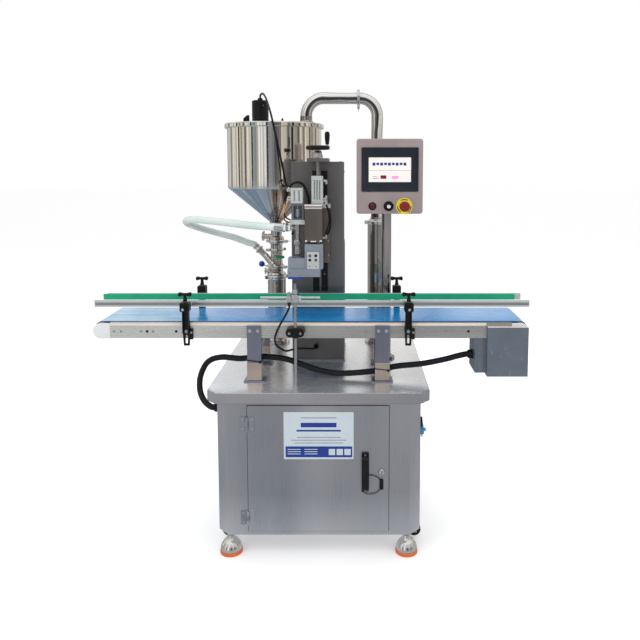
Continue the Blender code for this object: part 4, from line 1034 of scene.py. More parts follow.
def make_bracket(name, side, end, x):
    """A moulded bracket with a slotted foot, bolted to the side rail, and the knob that grips its rod."""
    node = f"guide_bracket_{name}_{end}"
    low, high = LOW[node], HIGH[node]
    face = BELT_LINE + side * (0.121 + GAP)
    arm_y = across(face, side, 0.0, 0.0075)
    head_y = across(BELT_LINE, side, 0.119, 0.151)
    foot, top = low.z, high.z
    head_low = 0.862
    outline = ([(x - 0.0105, foot), (x + 0.0105, foot), (x + 0.0125, foot + 0.04), (x + 0.014, foot + 0.062)]
               + [(x + 0.0115, foot + 0.09), (x + 0.0115, head_low + 0.004), (x - 0.0115, head_low + 0.004),
                  (x - 0.0115, foot + 0.09), (x - 0.014, foot + 0.062), (x - 0.0125, foot + 0.04)])
    hole = rounded((x - 0.0042, x + 0.0042), (foot + 0.007, foot + 0.04), 0.004, 5)
    arm = plate([outline, hole], *arm_y, "Y", 0.0012)
    rib_y = across(face, side, 0.005, 0.019)
    ribs = [box((x + dx - 0.0018, x + dx + 0.0018), rib_y, (foot + 0.046, head_low + 0.006), 0.0008)
            for dx in (-0.0095, 0.0095)]
    block = box((x + 0.0125, x + 0.023), across(face, side, 0.0, 0.0065), (foot + 0.022, foot + 0.062), 0.0012)
    middle_y = sum(head_y) / 2
    head = plate([rounded(around(x, 0.0165), (head_low, top), 0.005),
                  circle((x, ROD_HEIGHT), 0.0054, 24)], *head_y, "Y", 0.0016)
    boss = lathe([(0.0056, 0.006), (0.0095, 0.006), (0.0105, 0.0), (0.0056, 0.0)],
                 (x, max(head_y) - 0.0005 if side > 0 else min(head_y) + 0.0005, ROD_HEIGHT), (0, side, 0),
                 steps=28)
    bolts = hex_bolt((x, face + side * 0.0075, foot + 0.052), (0, side, 0), 0.0042, 0.005)
    bolts += hex_bolt((x + 0.0178, face + side * 0.0065, foot + 0.048), (0, side, 0), 0.003, 0.004)
    piece(f"{node}_moulding", "machine", [("black", [arm, *ribs, block, head, boss]), ("bare", bolts)],
          [node])

    knob = f"guide_knob_{name}_{end}"
    base = LOW[knob].z
    reach = HIGH[knob].x - MIDDLE[knob].x
    lobe = 0.0088
    bow = ([(-0.006, -0.004), (0.006, -0.004)] + arc((reach - lobe, 0.0), lobe, -62, 62, 8)
           + [(0.006, 0.005), (-0.006, 0.005)]
           + arc((-reach + lobe, 0.0), lobe, 118, 242, 8))
    wing = plate([bow], -0.0062, 0.0062, "Y", 0.0018)
    wing.transform(Matrix.Translation((x, middle_y, base + 0.0272)))
    stem = lathe([(0.0, 0.026), (0.0055, 0.025), (0.0062, 0.012), (0.0078, 0.004), (0.0078, 0.0), (0.0, 0.0)],
                 (x, middle_y, base), steps=28)
    washer = lathe(disc(0.0092, 0.0016), (x, middle_y, base), steps=28, ease=0.0004)
    piece(f"{knob}_wing", f"knob_{name}_{end}", [("black", [wing, stem]), ("bare", [washer])],
          [knob])


# ---------------------------------------------------------------- gearmotor
def make_drive():
    dress("cover", "gearmotor_cover", ease=0.0022, slot="cover_paint")
    dress("aluminium", "gearmotor", ease=0.0016, slot="aluminium")
    low, high = LOW["gearmotor_cover"], HIGH["gearmotor_cover"]
    front = low.y
    cover_x = 0.626
    box_front = front + 0.015
    heads = screws(inset((cover_x, high.x), 0.012), front, (low.z + 0.012, 0.748), TO_FRONT, 0.0028, 0.0012)
    heads += screws(low.x, (box_front + 0.01, box_front + 0.105), (0.645, 0.748), (-1, 0, 0), 0.0026, 0.0012)
    heads += screws(cover_x - 0.0065, box_front, (0.65, 0.735), TO_FRONT, 0.0024, 0.0014)
    lid = box((low.x + 0.006, low.x + 0.0095), (box_front - 0.0012, box_front + 0.116), (0.6335, 0.7585),
              0.0006)
    seam = box((cover_x - 0.014, cover_x - 0.01), (box_front - 0.0016, box_front + 0.001), (0.636, 0.757),
               0.0006)
    piece("cover_details", "machine", [("bare", heads), ("cover", [lid, seam])])
    top = box((0.6275, 0.7705), (front + 0.0005, front + 0.013), (0.8022, 0.8048), 0.0008)
    piece("cover_cap", "machine", [("wear", top)])
    fins = [lathe(disc(0.0415, 0.0016, 0.0385),
                  (0.7, BELT_LINE + 0.004 + 0.009 * i, 0.69), (0, 1, 0), steps=40, ease=0.0003)
            for i in range(9)]
    piece("motor_fins", "machine", [("aluminium", fins)])


# ---------------------------------------------------------------- column
def make_column():
    dress("column", "column_case", ease=0.0014, slot="brushed_steel")
    low, high = LOW["column_case"], HIGH["column_case"]
    front, back = -0.05, 0.045
    guide_y = -0.057
    for name, x in (("left", (-0.0085, 0.0175)), ("right", (0.0245, 0.0505))):
        rail = plate([[(x[0], 0.885), (x[1], 0.885), (x[1], 1.355), (x[0], 1.355)]], guide_y - 0.0002,
                     guide_y + 0.004, "Y", 0.0008)
        heads = screws(sum(x) / 2, guide_y - 0.0001, (0.905, 0.905 + 0.048), TO_FRONT, 0.003, 0.0001)
        piece(f"linear_guide_{name}", "machine", [("black", [rail]), ("bare", heads)])
    seams = [box((x - 0.0006, x + 0.0006), (front - 0.0004, front + 0.001), (0.615, 1.38), 0.0002)
             for x in (low.x + 0.004, high.x - 0.004)]
    near_edges = inset((low.x, high.x), 0.014)
    size = (0.0032, 0.0018)
    heads = screws(near_edges, (0.0, back - 0.012), 1.389, UP, *size)
    for x, direction in ((low.x, -1), (high.x, 1)):
        heads += screws(x, (-0.03, 0.03), (0.64, 0.99, 1.35), (direction, 0, 0), *size)
    heads += screws(near_edges, high.y, (0.625, 0.835, 1.045), (0, 1, 0), *size)
    heads += screws(near_edges, back, (1.085, 1.225, 1.37), (0, 1, 0), *size)
    piece("column_screws", "machine", [("bare", heads), ("stand", seams)])
    foot = [box((low.x - 0.004, high.x + 0.004), (front - 0.004, high.y + 0.004), (TABLE_TOP + GAP, 0.6085),
                0.0012)]
    piece("column_foot", "machine", [("rim", foot)])
    make_screw_and_wheel()


def make_screw_and_wheel():
    x, y = MIDDLE["lift_screw"].x, MIDDLE["lift_screw"].y
    low, high = LOW["lift_screw"].z, HIGH["lift_screw"].z
    shoulder = 1.4013 + GAP
    pitch, outer, root = 0.004, 0.0069, 0.0056
    thread = []
    z = low + 0.001
    while z < shoulder - 0.012:
        thread += [(root, z), (outer, z + 0.0012), (outer, z + 0.002), (root, z + 0.0032)]
        z += pitch
    profile = [(0.0, high), (0.0069, high), (0.0069, 1.428), (0.014, 1.4272), (0.0185, 1.4085),
               (0.0195, shoulder + 0.0004), (0.0069, shoulder)] + thread[::-1] + [(0.0, low)]
    piece("lift_screw_thread", "handwheel", [("bare", lathe(profile, (x, y, 0.0), steps=28, ease=0.0002))],
          ["lift_screw"])

    low, high = LOW["handwheel"].z, HIGH["handwheel"].z
    radius = HIGH["handwheel"].x - x
    mid = (low + high) / 2
    rim = lathe([(radius - 0.012 + 0.0065 * math.cos(t) + 0.0055, mid + (high - low) / 2 * math.sin(t))
                 for t in [math.radians(a) for a in range(0, 360, 24)]], (x, y, 0.0), steps=56, ease=0.0)
    disc = lathe([(0.0, high - 0.004), (0.017, high - 0.004), (0.02, high - 0.0065),
                  (radius - 0.009, high - 0.0065),
                  (radius - 0.009, low + 0.0055), (0.02, low + 0.0055), (0.017, low + 0.001),
                  (0.0, low + 0.001)],
                 (x, y, 0.0), steps=56)
    hub = lathe([(0.0, high - 0.0002), (0.011, high - 0.0002), (0.0145, high - 0.004), (0.0145, low + 0.0002),
                 (0.0, low + 0.0002)], (x, y, 0.0), steps=40)
    nut = rod((x, y, high - 0.003), (x, y, high), 0.0062, sides=6)
    piece("handwheel_rim", "handwheel", [("black", [rim, disc, hub]), ("chrome", [nut])],
          ["handwheel"])

    at = foot_of("handwheel_grip")
    base, top = LOW["handwheel_grip"].z, HIGH["handwheel_grip"].z
    grip = lathe([(0.0, top), (0.0055, top - 0.0008), (0.0085, top - 0.004), (0.0098, top - 0.012),
                  (0.0094, top - 0.024), (0.008, top - 0.036), (0.007, base + 0.006), (0.0074, base + 0.0032),
                  (0.0, base + 0.003)], at, steps=40, ease=0.0016)
    stem = rod((at[0], at[1], base), (at[0], at[1], base + 0.004), 0.0046, sides=20, ease=0.0003)
    piece("handwheel_grip_turned", "grip", [("black", grip), ("chrome", stem)],
          ["handwheel_grip"])


# ---------------------------------------------------------------- filling head
def profile_cylinder(name, body, node, finish, grooves, rod_at, rod_radius):
    """An air cylinder of extruded aluminium: grooved barrel between two end caps, open below for its rod."""
    bore = circle(rod_at, rod_radius, 24)
    low, high = LOW[node], HIGH[node]
    x, y = (low.x, high.x), (low.y, high.y)
    mid_x, mid_y = sum(x) / 2, sum(y) / 2
    depth, half = 0.003, 0.0027
    outline = []
    corners = [(x[0], y[0]), (x[1], y[0]), (x[1], y[1]), (x[0], y[1])]
    for (u0, v0), (u1, v1) in zip(corners, corners[1:] + corners[:1]):
        along = Vector((u1 - u0, v1 - v0))
        length = along.length
        along.normalize()
        inward = Vector((-along.y, along.x))
        start = Vector((u0, v0))
        outline.append(tuple(start + along * 0.002 + inward * 0.0004))
        for share in grooves:
            at = start + along * length * share
            for step, deep in ((-half, 0), (-half * 0.7, 1), (half * 0.7, 1), (half, 0)):
                outline.append(tuple(at + along * step + inward * (0.0004 + depth * deep)))
        outline.append(tuple(start + along * (length - 0.002) + inward * 0.0004))
    cap = (high.z - low.z) * 0.16
    barrel = plate([outline, bore], low.z + cap, high.z - cap, "Z", 0.0002)
    ends = [plate([rounded(x, y, 0.0035), bore], low.z, low.z + cap - 0.0004, "Z", 0.0006),
            slab(x, y, 0.0035, high.z - cap + 0.0004, high.z, "Z", 0.001)]
    rings = [plate([rounded(inset(x, 0.0015), inset(y, 0.0015), 0.002), bore], *around(z, 0.0006), "Z", 0.0)
             for z in (low.z + cap, high.z - cap)]
    for share in grooves:
        at_x, at_y = x[0] + (x[1] - x[0]) * share, y[0] + (y[1] - y[0]) * share
        rings += [box(around(at_x, 0.0018), (y[0] + 0.0026, y[0] + 0.0036), (low.z + cap, high.z - cap), 0.0),
                  box(around(at_x, 0.0018), (y[1] - 0.0036, y[1] - 0.0026), (low.z + cap, high.z - cap), 0.0),
                  box((x[0] + 0.0026, x[0] + 0.0036), around(at_y, 0.0018), (low.z + cap, high.z - cap), 0.0),
                  box((x[1] - 0.0036, x[1] - 0.0026), around(at_y, 0.0018), (low.z + cap, high.z - cap), 0.0)]
    heads = screws(inset(x, 0.006), inset(y, 0.006), high.z - 0.0004, UP, 0.0026, 0.0003)
    cap_plug = lathe([(0.0, 0.0003), (0.007, 0.0003), (0.008, 0.0), (0.0, 0.0)],
                     (mid_x, mid_y, high.z - 0.0003),
                     steps=28)
    return piece(name, body, [(finish, [barrel, *ends]), ("aluminium", rings), ("bare", [*heads, cap_plug])],
                 [node])


def make_head():
    dress("dark_steel", "lift_carriage", ease=0.001, slot="aluminium")
    dress("dark_steel", "head_cover", ease=0.0012, slot="brushed_steel")
    dress("anodised", "neck_locator", ease=0.001, slot="aluminium")
    profile_cylinder("lift_cylinder_profile", "carriage", "lift_cylinder", "extruded", (0.28, 0.5, 0.72),
                     (MIDDLE["lift_cylinder"].x, MIDDLE["lift_cylinder"].y), 0.008)
    profile_cylinder("shutoff_cylinder_profile", "carriage", "shutoff_cylinder", "extruded", (0.3, 0.7),
                     (NOZZLE_X, BELT_LINE), 0.0045)
    low, high = LOW["head_cover"], HIGH["head_cover"]
    x = (low.x, high.x)
    top = HIGH["head_cover"].z + GAP
    piece("head_top_plates", "carriage", [
        ("wear",
         [box((x[0] - 0.0006, x[1] + 0.0006), (low.y - 0.0006, -0.07), (top + 0.0095, top + 0.0165), 0.001)]),
        ("extruded",
         [box((x[0] - 0.0003, x[1] + 0.0003), (low.y - 0.0003, -0.07), (top, top + 0.006), 0.0008)]),
    ])
    feet = [box((u, u + 0.008), (low.y - 0.0012, low.y + 0.004), (low.z + 0.0005, low.z + 0.0065), 0.0008)
            for u in (x[0] + 0.001, x[1] - 0.009)]
    feet.append(box(around(sum(x) / 2, 0.01), (low.y - 0.0012, low.y + 0.004), (low.z, low.z + 0.0045), 0.0008))
    piece("head_cover_clips", "carriage", [("wear", feet)])
    piece("carriage_bolts", "carriage", [
        ("bare", screws((-0.0305, 0.0535), -0.0773, (1.03, 1.085, 1.14, 1.195), TO_FRONT, 0.0034, 0.003))])
    make_locator()
    make_air_lines()


def make_locator():
    """Screws, holes and the blue centring strip of the bottle-neck locator."""
    low = LOW["neck_locator"]
    face = low.y
    heads, holes = [], []
    # holes: black rings round each hole and black discs in the holes without screws, painted shade in the holes
    for u, z, filled in ((-0.009, 1.045, False), (0.013, 1.045, True), (-0.009, 1.029, True),
                         (0.013, 1.029, False)):
        holes.append(lathe([(0.0028, 0.0006), (0.0054, 0.0004), (0.0054, -0.001), (0.0028, -0.001)],
                           (u, face, z),
                           TO_FRONT, steps=24, ease=0.0))
        centre = [(0.0, 0.0007), (0.0027, 0.0007), (0.0027, -0.0008), (0.0, -0.0008)]
        (holes if filled else heads).append(lathe(centre, (u, face, z), TO_FRONT, steps=24, ease=0.0))
    holes += [lathe([(0.0, 0.0006), (0.0018, 0.0006), (0.0018, -0.001), (0.0, -0.001)], (u, face, 1.005),
                    TO_FRONT, steps=16, ease=0.0) for u in (-0.009, 0.013)]
    line = box((-0.0185, 0.0245), (face - 0.0002, face + 0.0006), (1.0145, 1.0155), 0.0)
    plate_face = MIDDLE["conveyor_belt"].y - 0.029
    side = socket_screw((-0.083, plate_face, 0.981), TO_FRONT, 0.0024, 0.0008)
    face_plate = slab((-0.0195, 0.0255), (0.9955, 1.0595), 0.0025, face - 0.0003, face + 0.002, "Y", 0.0006)
    piece("locator_face_plate", "locator", [("extruded", [face_plate]), ("bare", [*heads, side]),
                                            ("black", holes + [line])])
    neck = lathe([(0.017, 0.0055), (0.0205, 0.0055), (0.0215, 0.0045), (0.0215, 0.0), (0.017, 0.0)],
                 (NOZZLE_X, BELT_LINE, 1.0352), steps=48)
    strip = box((-0.0905, -0.0385), (plate_face - 0.0004, plate_face + 0.012), (0.9578, 0.9658), 0.0014)
    cup = slab((-0.08, -0.029), (0.9985, 1.0325), 0.002, BELT_LINE - 0.0262, BELT_LINE - 0.024, "Y", 0.0006)
    piece("locator_neck_ring", "locator", [("stand", [neck]), ("anodised", [cup]), ("blue", [strip])])


def make_air_lines():
    """Elbows and short air tubes of the two cylinders, all held on the head."""
    y = BELT_LINE
    left = LOW["shutoff_cylinder"].x
    lift_right = HIGH["lift_cylinder"].x
    elbows = [*air_fitting((left, y, 1.283), (-1, 0, 0), (0.5, 0.0, 1.0), 0.006),
              *air_fitting((left, y, 1.247), (-1, 0, 0), (-0.35, 0.0, -1.0)),
              *air_fitting((left, y + 0.012, 1.256), (-1, 0, 0), (-0.35, 0.2, -1.0)),
              *air_fitting((lift_right, y, 1.318), (1, 0, 0), (0.1, 0.1, -1.0)),
              *air_fitting((lift_right, y, 1.252), (1, 0, 0), (0.1, 0.1, 1.0)),
              *air_fitting((lift_right, y, 1.243), (1, 0, 0), (0.1, 0.1, -1.0)),
              *air_fitting((0.036, y + 0.01, 1.106), (1, 0, 0), (0.1, 0.1, 1.0))]
    piece("air_elbows", "carriage", [("brass", elbows)])

    def lead(name, finish, points, radius=0.0030):
        route = smooth_route(points, 0.004)
        tube = piece(name, "carriage", [(finish, sweep(route, radius, 12))])
        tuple(points[0])
        route_length(route)

    knee = Vector((left - 0.011, y, 1.283)) + Vector((0.5, 0.0, 1.0)).normalized() * 0.0122
    lead("air_lead_arc", "rubber", [
        knee, knee + Vector((0.0018, 0.0, 0.0036)), (-0.0725, y + 0.004, 1.3075), (-0.052, y + 0.01, 1.3125),
        (-0.0335, y + 0.016, 1.301), (-0.0215, y + 0.02, 1.274), (-0.016, y + 0.022, 1.248),
        (-0.0155, y + 0.022, 1.241), (-0.0155, y + 0.022, 1.2338)], 0.0046)
    for name, finish, dy, z in (("amber", "amber", 0.0, 1.247), ("dark", "rubber", 0.012, 1.256)):
        bend = Vector((-0.35, 0.2 if dy else 0.0, -1.0)).normalized()
        start = Vector((left - 0.011, y + dy, z)) + bend * 0.0122
        lead(f"air_lead_{name}", finish, [
            start, start + bend * 0.006, start + Vector((-0.012, 0.006 + dy, -0.03)),
            start + Vector((-0.017, 0.022 + dy, -0.052)), start + Vector((-0.006, 0.044 + dy, -0.072)),
            (-0.058, y + 0.07 + dy, 1.158), (-0.0425, y + 0.082 + dy * 0.5, 1.156),
            (-0.0345, y + 0.086 + dy * 0.5, 1.156)])
    lead("air_lead_upper", "rubber", [
        (lift_right + 0.0122, y + 0.0012, 1.306), (lift_right + 0.0126, y + 0.0016, 1.3),
        (lift_right + 0.013, y + 0.002, 1.29), (lift_right + 0.0126, y + 0.002, 1.276),
        (lift_right + 0.0122, y + 0.0012, 1.264)])
    lead("air_lead_lower", "rubber", [
        (lift_right + 0.0122, y + 0.0012, 1.231), (lift_right + 0.013, y + 0.003, 1.224),
        (lift_right + 0.02, y + 0.006, 1.2), (lift_right + 0.022, y + 0.01, 1.17),
        (lift_right + 0.016, y + 0.012, 1.14), (lift_right + 0.01, y + 0.0112, 1.124),
        (0.0481, y + 0.0112, 1.118)])
    lead("air_lead_return", "rubber", [
        (lift_right + 0.019, y + 0.018, 1.2165), (lift_right + 0.021, y + 0.018, 1.209),
        (lift_right + 0.026, y + 0.02, 1.186), (lift_right + 0.026, y + 0.026, 1.156),
        (lift_right + 0.02, y + 0.04, 1.128), (lift_right + 0.012, y + 0.062, 1.112),
        (lift_right + 0.008, y + 0.086, 1.108), (lift_right + 0.008, -0.0775, 1.108)])
    block = box((0.0365, 0.066), around(y + 0.018, 0.006), (1.217, 1.233), 0.001)
    piece("air_manifold", "carriage", [("brass", [block])])


def make_nozzle():
    x, y = NOZZLE_X, BELT_LINE
    yoke_x = (x - 0.019, x + 0.024)
    yoke = plate([rounded(yoke_x, (1.169, HIGH["nozzle_body"].z), 0.002),
                  rounded(inset(yoke_x, 0.0062), (1.181, 1.228), 0.002)], *around(y, 0.018), "Y", 0.001)
    clamp = box((x - 0.026, -0.0275), around(y, 0.022), (1.159, 1.1755), 0.0014)
    clamp_slit = box((x - 0.0268, x - 0.01), around(y, 0.001), (1.1585, 1.176), 0.0)
    bolts = screws((x - 0.02, x + 0.018), y - 0.022, 1.167, TO_FRONT, 0.003, 0.0022)
    tee = lathe([(0.0046, 1.165), (0.0108, 1.165), (0.0108, 1.152), (0.01, 1.15), (0.01, 1.13),
                 (0.0108, 1.128), (0.0108, 1.1255), (0.0046, 1.1255)], (x, y, 0.0), steps=40)
    tube = lathe([(0.0046, 1.128), (0.0074, 1.128), (0.0074, 1.101), (0.0046, 1.101)], (x, y, 0.0), steps=32,
                 ease=0.0002)
    collar = lathe([(0.0046, 1.104), (0.009, 1.1035), (0.0128, 1.099), (0.0143, 1.093), (0.0143, 1.086),
                    (0.013, 1.0835), (0.0118, 1.0815), (0.0046, 1.081)], (x, y, 0.0), steps=40)
    spout = lathe([(0.0046, 1.083), (0.0106, 1.083), (0.0106, 1.0775), (0.0096, 1.0765), (0.0096, 1.0715),
                   (0.011, 1.07), (0.011, 1.048), (0.0094, 1.044), (0.0094, 1.04), (0.0068, 1.038),
                   (0.0046, 1.038)], (x, y, 0.0), steps=36)
    barb = lathe([(0.0062, 0.0), (0.0088, 0.0), (0.0088, 0.01), (0.008, 0.011), (0.0085, 0.015),
                  (0.008, 0.016), (0.0085, 0.02), (0.008, 0.0258), (0.0062, 0.0258)], (x, y, 1.146), (-1, 0, 0),
                 steps=32, ease=0.0003)
    hose_clip = lathe([(0.0142, 0.0), (0.015, 0.0), (0.015, 0.009), (0.0142, 0.009)], (-0.09, y, 1.146),
                      (-1, 0, 0), steps=40, ease=0.0003)
    clip_screw = [rod((-0.0945, y - 0.02, 1.163), (-0.0945, y, 1.163), 0.0026, sides=16),
                  box(around(-0.0945, 0.0045), (y - 0.011, y - 0.001), (1.1595, 1.1665), 0.0008)]
    near = [point for point in smooth_route(HOSE_ROUTE, 0.004) if -0.14 < point[0] < -0.0915]
    cuff = sweep(near, 0.0154, 40, bore=0.0142)
    cuff_ring = lathe([(0.015, 0.0), (0.0172, 0.0), (0.0172, 0.006), (0.015, 0.006)], near[0],
                      Vector(near[1]) - Vector(near[0]), steps=40, ease=0.0004)
    small = [rod((-0.074, y - 0.01, 1.146), (-0.074, y - 0.021, 1.146), 0.0042, sides=6, ease=0.0004),
             rod((-0.08, y - 0.004, 1.158), (-0.08, y - 0.004, 1.17), 0.0036, sides=20),
             rod((-0.068, y - 0.006, 1.132), (-0.076, y - 0.012, 1.122), 0.004, sides=20)]
    piece("hose_cuff", "carriage", [("chrome", [cuff, cuff_ring]), ("brass", small[:2]), ("rubber", small[2:])])
    piece("nozzle_fittings", "carriage", [
        ("cover", [yoke]), ("stand", [clamp_slit]), ("extruded", [clamp, *bolts]),
        ("polished", [tee, tube, collar, spout, barb]), ("bare", [hose_clip, *clip_screw]),
    ], ["nozzle_body"])
    dress("polished", "nozzle_needle", ease=0.0, slot="polished_steel")
    coupling = lathe([(0.0037, 0.031), (0.0085, 0.031), (0.0098, 0.028), (0.0098, 0.003), (0.0085, 0.0),
                      (0.0037, 0.0)], (x, y, 1.184), steps=32)
    piece("needle_coupling", "needle", [("anodised", [coupling])])


# ---------------------------------------------------------------- product path
def make_hopper():
    at = foot_of("hopper")
    top, bottom = HIGH["hopper"].z, LOW["hopper"].z
    shoulder = 1.28
    wall = lathe([(0.2, top), (0.2, shoulder + 0.0002), (0.197, shoulder + 0.0002), (0.197, top)], at,
                 steps=144, ease=0.0008)
    cone = lathe([(0.1998, shoulder), (0.0262, bottom + 0.0115), (0.0258, bottom), (0.022, bottom),
                  (0.022, bottom + 0.011), (0.197, shoulder)], at, steps=144, ease=0.0012)
    weld = lathe([(0.2006, shoulder + 0.0012), (0.201, shoulder), (0.2002, shoulder - 0.0014),
                  (0.199, shoulder)],
                 at, steps=144, ease=0.0)
    piece("hopper_shell", "machine", [("hopper", [wall]), ("cone", [cone]), ("bare", [weld])],
          ["hopper"])

    rim, low, high = 0.21, LOW["hopper_lid"].z, HIGH["hopper_lid"].z
    sensor = MIDDLE["level_sensor"]
    lid = lathe([(0.0, high - 0.0004), (0.199, high - 0.0012), (rim - 0.003, high - 0.003),
                 (rim, high - 0.0065),
                 (rim, low + 0.002), (rim - 0.0015, low), (0.2008, low), (0.2008, low + 0.0018),
                 (rim - 0.003, low + 0.003), (rim - 0.003, top + 0.0005), (0.0, top + 0.0005)], at, steps=144,
                ease=0.0012)
    hinge_x = at[0] - 0.093
    latch = [box((hinge_x - 0.013, hinge_x + 0.01), around(at[1] - 0.15, 0.01), (high - 0.0008, high + 0.0055),
                 0.001),
             plate([[(hinge_x - 0.013, high + 0.005), (hinge_x + 0.01, high + 0.005),
                     (hinge_x + 0.01, high + 0.024), (hinge_x + 0.001, high + 0.0235),
                     (hinge_x - 0.014, high + 0.01)]], at[1] - 0.157, at[1] - 0.143, "Y", 0.0016)]
    stud_at = (at[0] + 0.047, at[1] - 0.12)
    stud = rod((*stud_at, high - 0.001), (*stud_at, high + 0.012), 0.003, sides=16)
    nut = wing_nut((*stud_at, high + 0.001), UP, 0.011, math.radians(80))
    seal = lathe(disc(0.0385, 0.0016, 0.0362), (sensor.x, sensor.y, high - 0.0006), steps=48, ease=0.0004)
    piece("hopper_lid_pressed", "machine", [
        ("hopper", [lid]), ("black", [*latch, stud, *nut]), ("rubber", [seal])],
        ["hopper_lid"])
    make_level_sensor()


def make_level_sensor():
    at = foot_of("level_sensor")
    top = HIGH["level_sensor"].z
    lid = HIGH["hopper_lid"].z
    body = lathe([(0.0, top), (0.0055, top), (0.0085, top - 0.0015), (0.0108, top - 0.004),
                  (0.0112, top - 0.0095),
                  (0.02, top - 0.0105), (0.032, top - 0.0115), (0.035, top - 0.0155), (0.0352, lid + 0.0245),
                  (0.0342, lid + 0.024), (0.0342, lid + 0.0215), (0.0354, lid + 0.021), (0.0354, lid + 0.0095),
                  (0.034, lid + 0.0006), (0.008, lid + 0.0006), (0.008, lid - 0.026), (0.0, lid - 0.026)], at,
                 steps=72, ease=0.0009)
    probe = lathe([(0.0, lid - 0.026), (0.0055, lid - 0.026), (0.0055, 1.382), (0.0, 1.38)], at, steps=24)
    heads = [socket_screw((at[0] + 0.0352 * math.cos(a), at[1] + 0.0352 * math.sin(a), top - 0.034),
                          (math.cos(a), math.sin(a), 0.0), 0.0022, 0.0003)
             for a in [math.radians(d) for d in (-60, 60, 180)]]
    piece("level_sensor_housing", "machine", [("black", [body]), ("bare", [probe, *heads])],
          ["level_sensor"])


PIPE_CLAMP_TURN = -100              # degrees, with the wing nut below the pipe


def make_feed_pipe():
    start_x, riser_x, y = -0.052, 0.25, MIDDLE["feed_pipe"].y
    radius, top, bend = 0.0252, 1.659, 0.075
    lid_top = HIGH["hopper_lid"].z
    path = [Vector((start_x, y, lid_top + 0.006)), Vector((start_x, y, top - bend - 0.004))]
    path += [Vector((start_x + bend + u, y, top - bend + v)) for u, v in arc((0, 0), bend, 180, 90, 20)]
    path += [Vector((riser_x - bend + u, y, top - bend + v)) for u, v in arc((0, 0), bend, 90, 0, 20)]
    path += [Vector((riser_x, y, top - bend - 0.004)), Vector((riser_x, y, 1.12))]
    pipe = sweep(path, radius, 56)
    bend_start = riser_x - bend
    floor = TABLE_TOP + GAP
    ferrules = [lathe([(0.0246, 0.03), (0.0258, 0.03), (0.0262, 0.012), (0.03, 0.0065), (0.0308, 0.0045),
                       (0.0308, 0.0), (0.0246, 0.0)], (start_x, y, lid_top + 0.0005), steps=64)]
    riser = lathe([(0.0, 1.131), (0.0395, 1.131), (0.04, 1.128), (0.04, floor + 0.008), (0.0, floor + 0.008)],
                  (riser_x, y, 0.0), steps=64)
    reducer = lathe([(0.0248, 0.022), (0.0262, 0.022), (0.029, 0.014), (0.0402, 0.004), (0.0402, 0.0),
                     (0.0248, 0.0)], (riser_x, y, 1.1315), steps=64)
    flange = lathe([(0.0395, 0.012), (0.042, 0.01), (0.0515, 0.009), (0.0515, 0.0), (0.0395, 0.0)],
                   (riser_x, y, floor), steps=64)
    bolts = [part for at in spread((riser_x, y), 0.0445, floor + 0.0088, 45, 4)
             for part in hex_bolt(at, UP, 0.004, 0.005)]
    clamps = clamp_ring((bend_start - 0.0045, y, top), (1, 0, 0), 0.0325, 0.012, PIPE_CLAMP_TURN, 0.0026)
    clamps += clamp_ring((riser_x, y, 1.131), UP, 0.0445, 0.016, 195)
    piece("feed_pipe_assembly", "machine", [
        ("pipe", [pipe]), ("tube", [riser, *ferrules, reducer, flange]), ("chrome", clamps), ("bare", bolts),
    ], ["feed_pipe"])


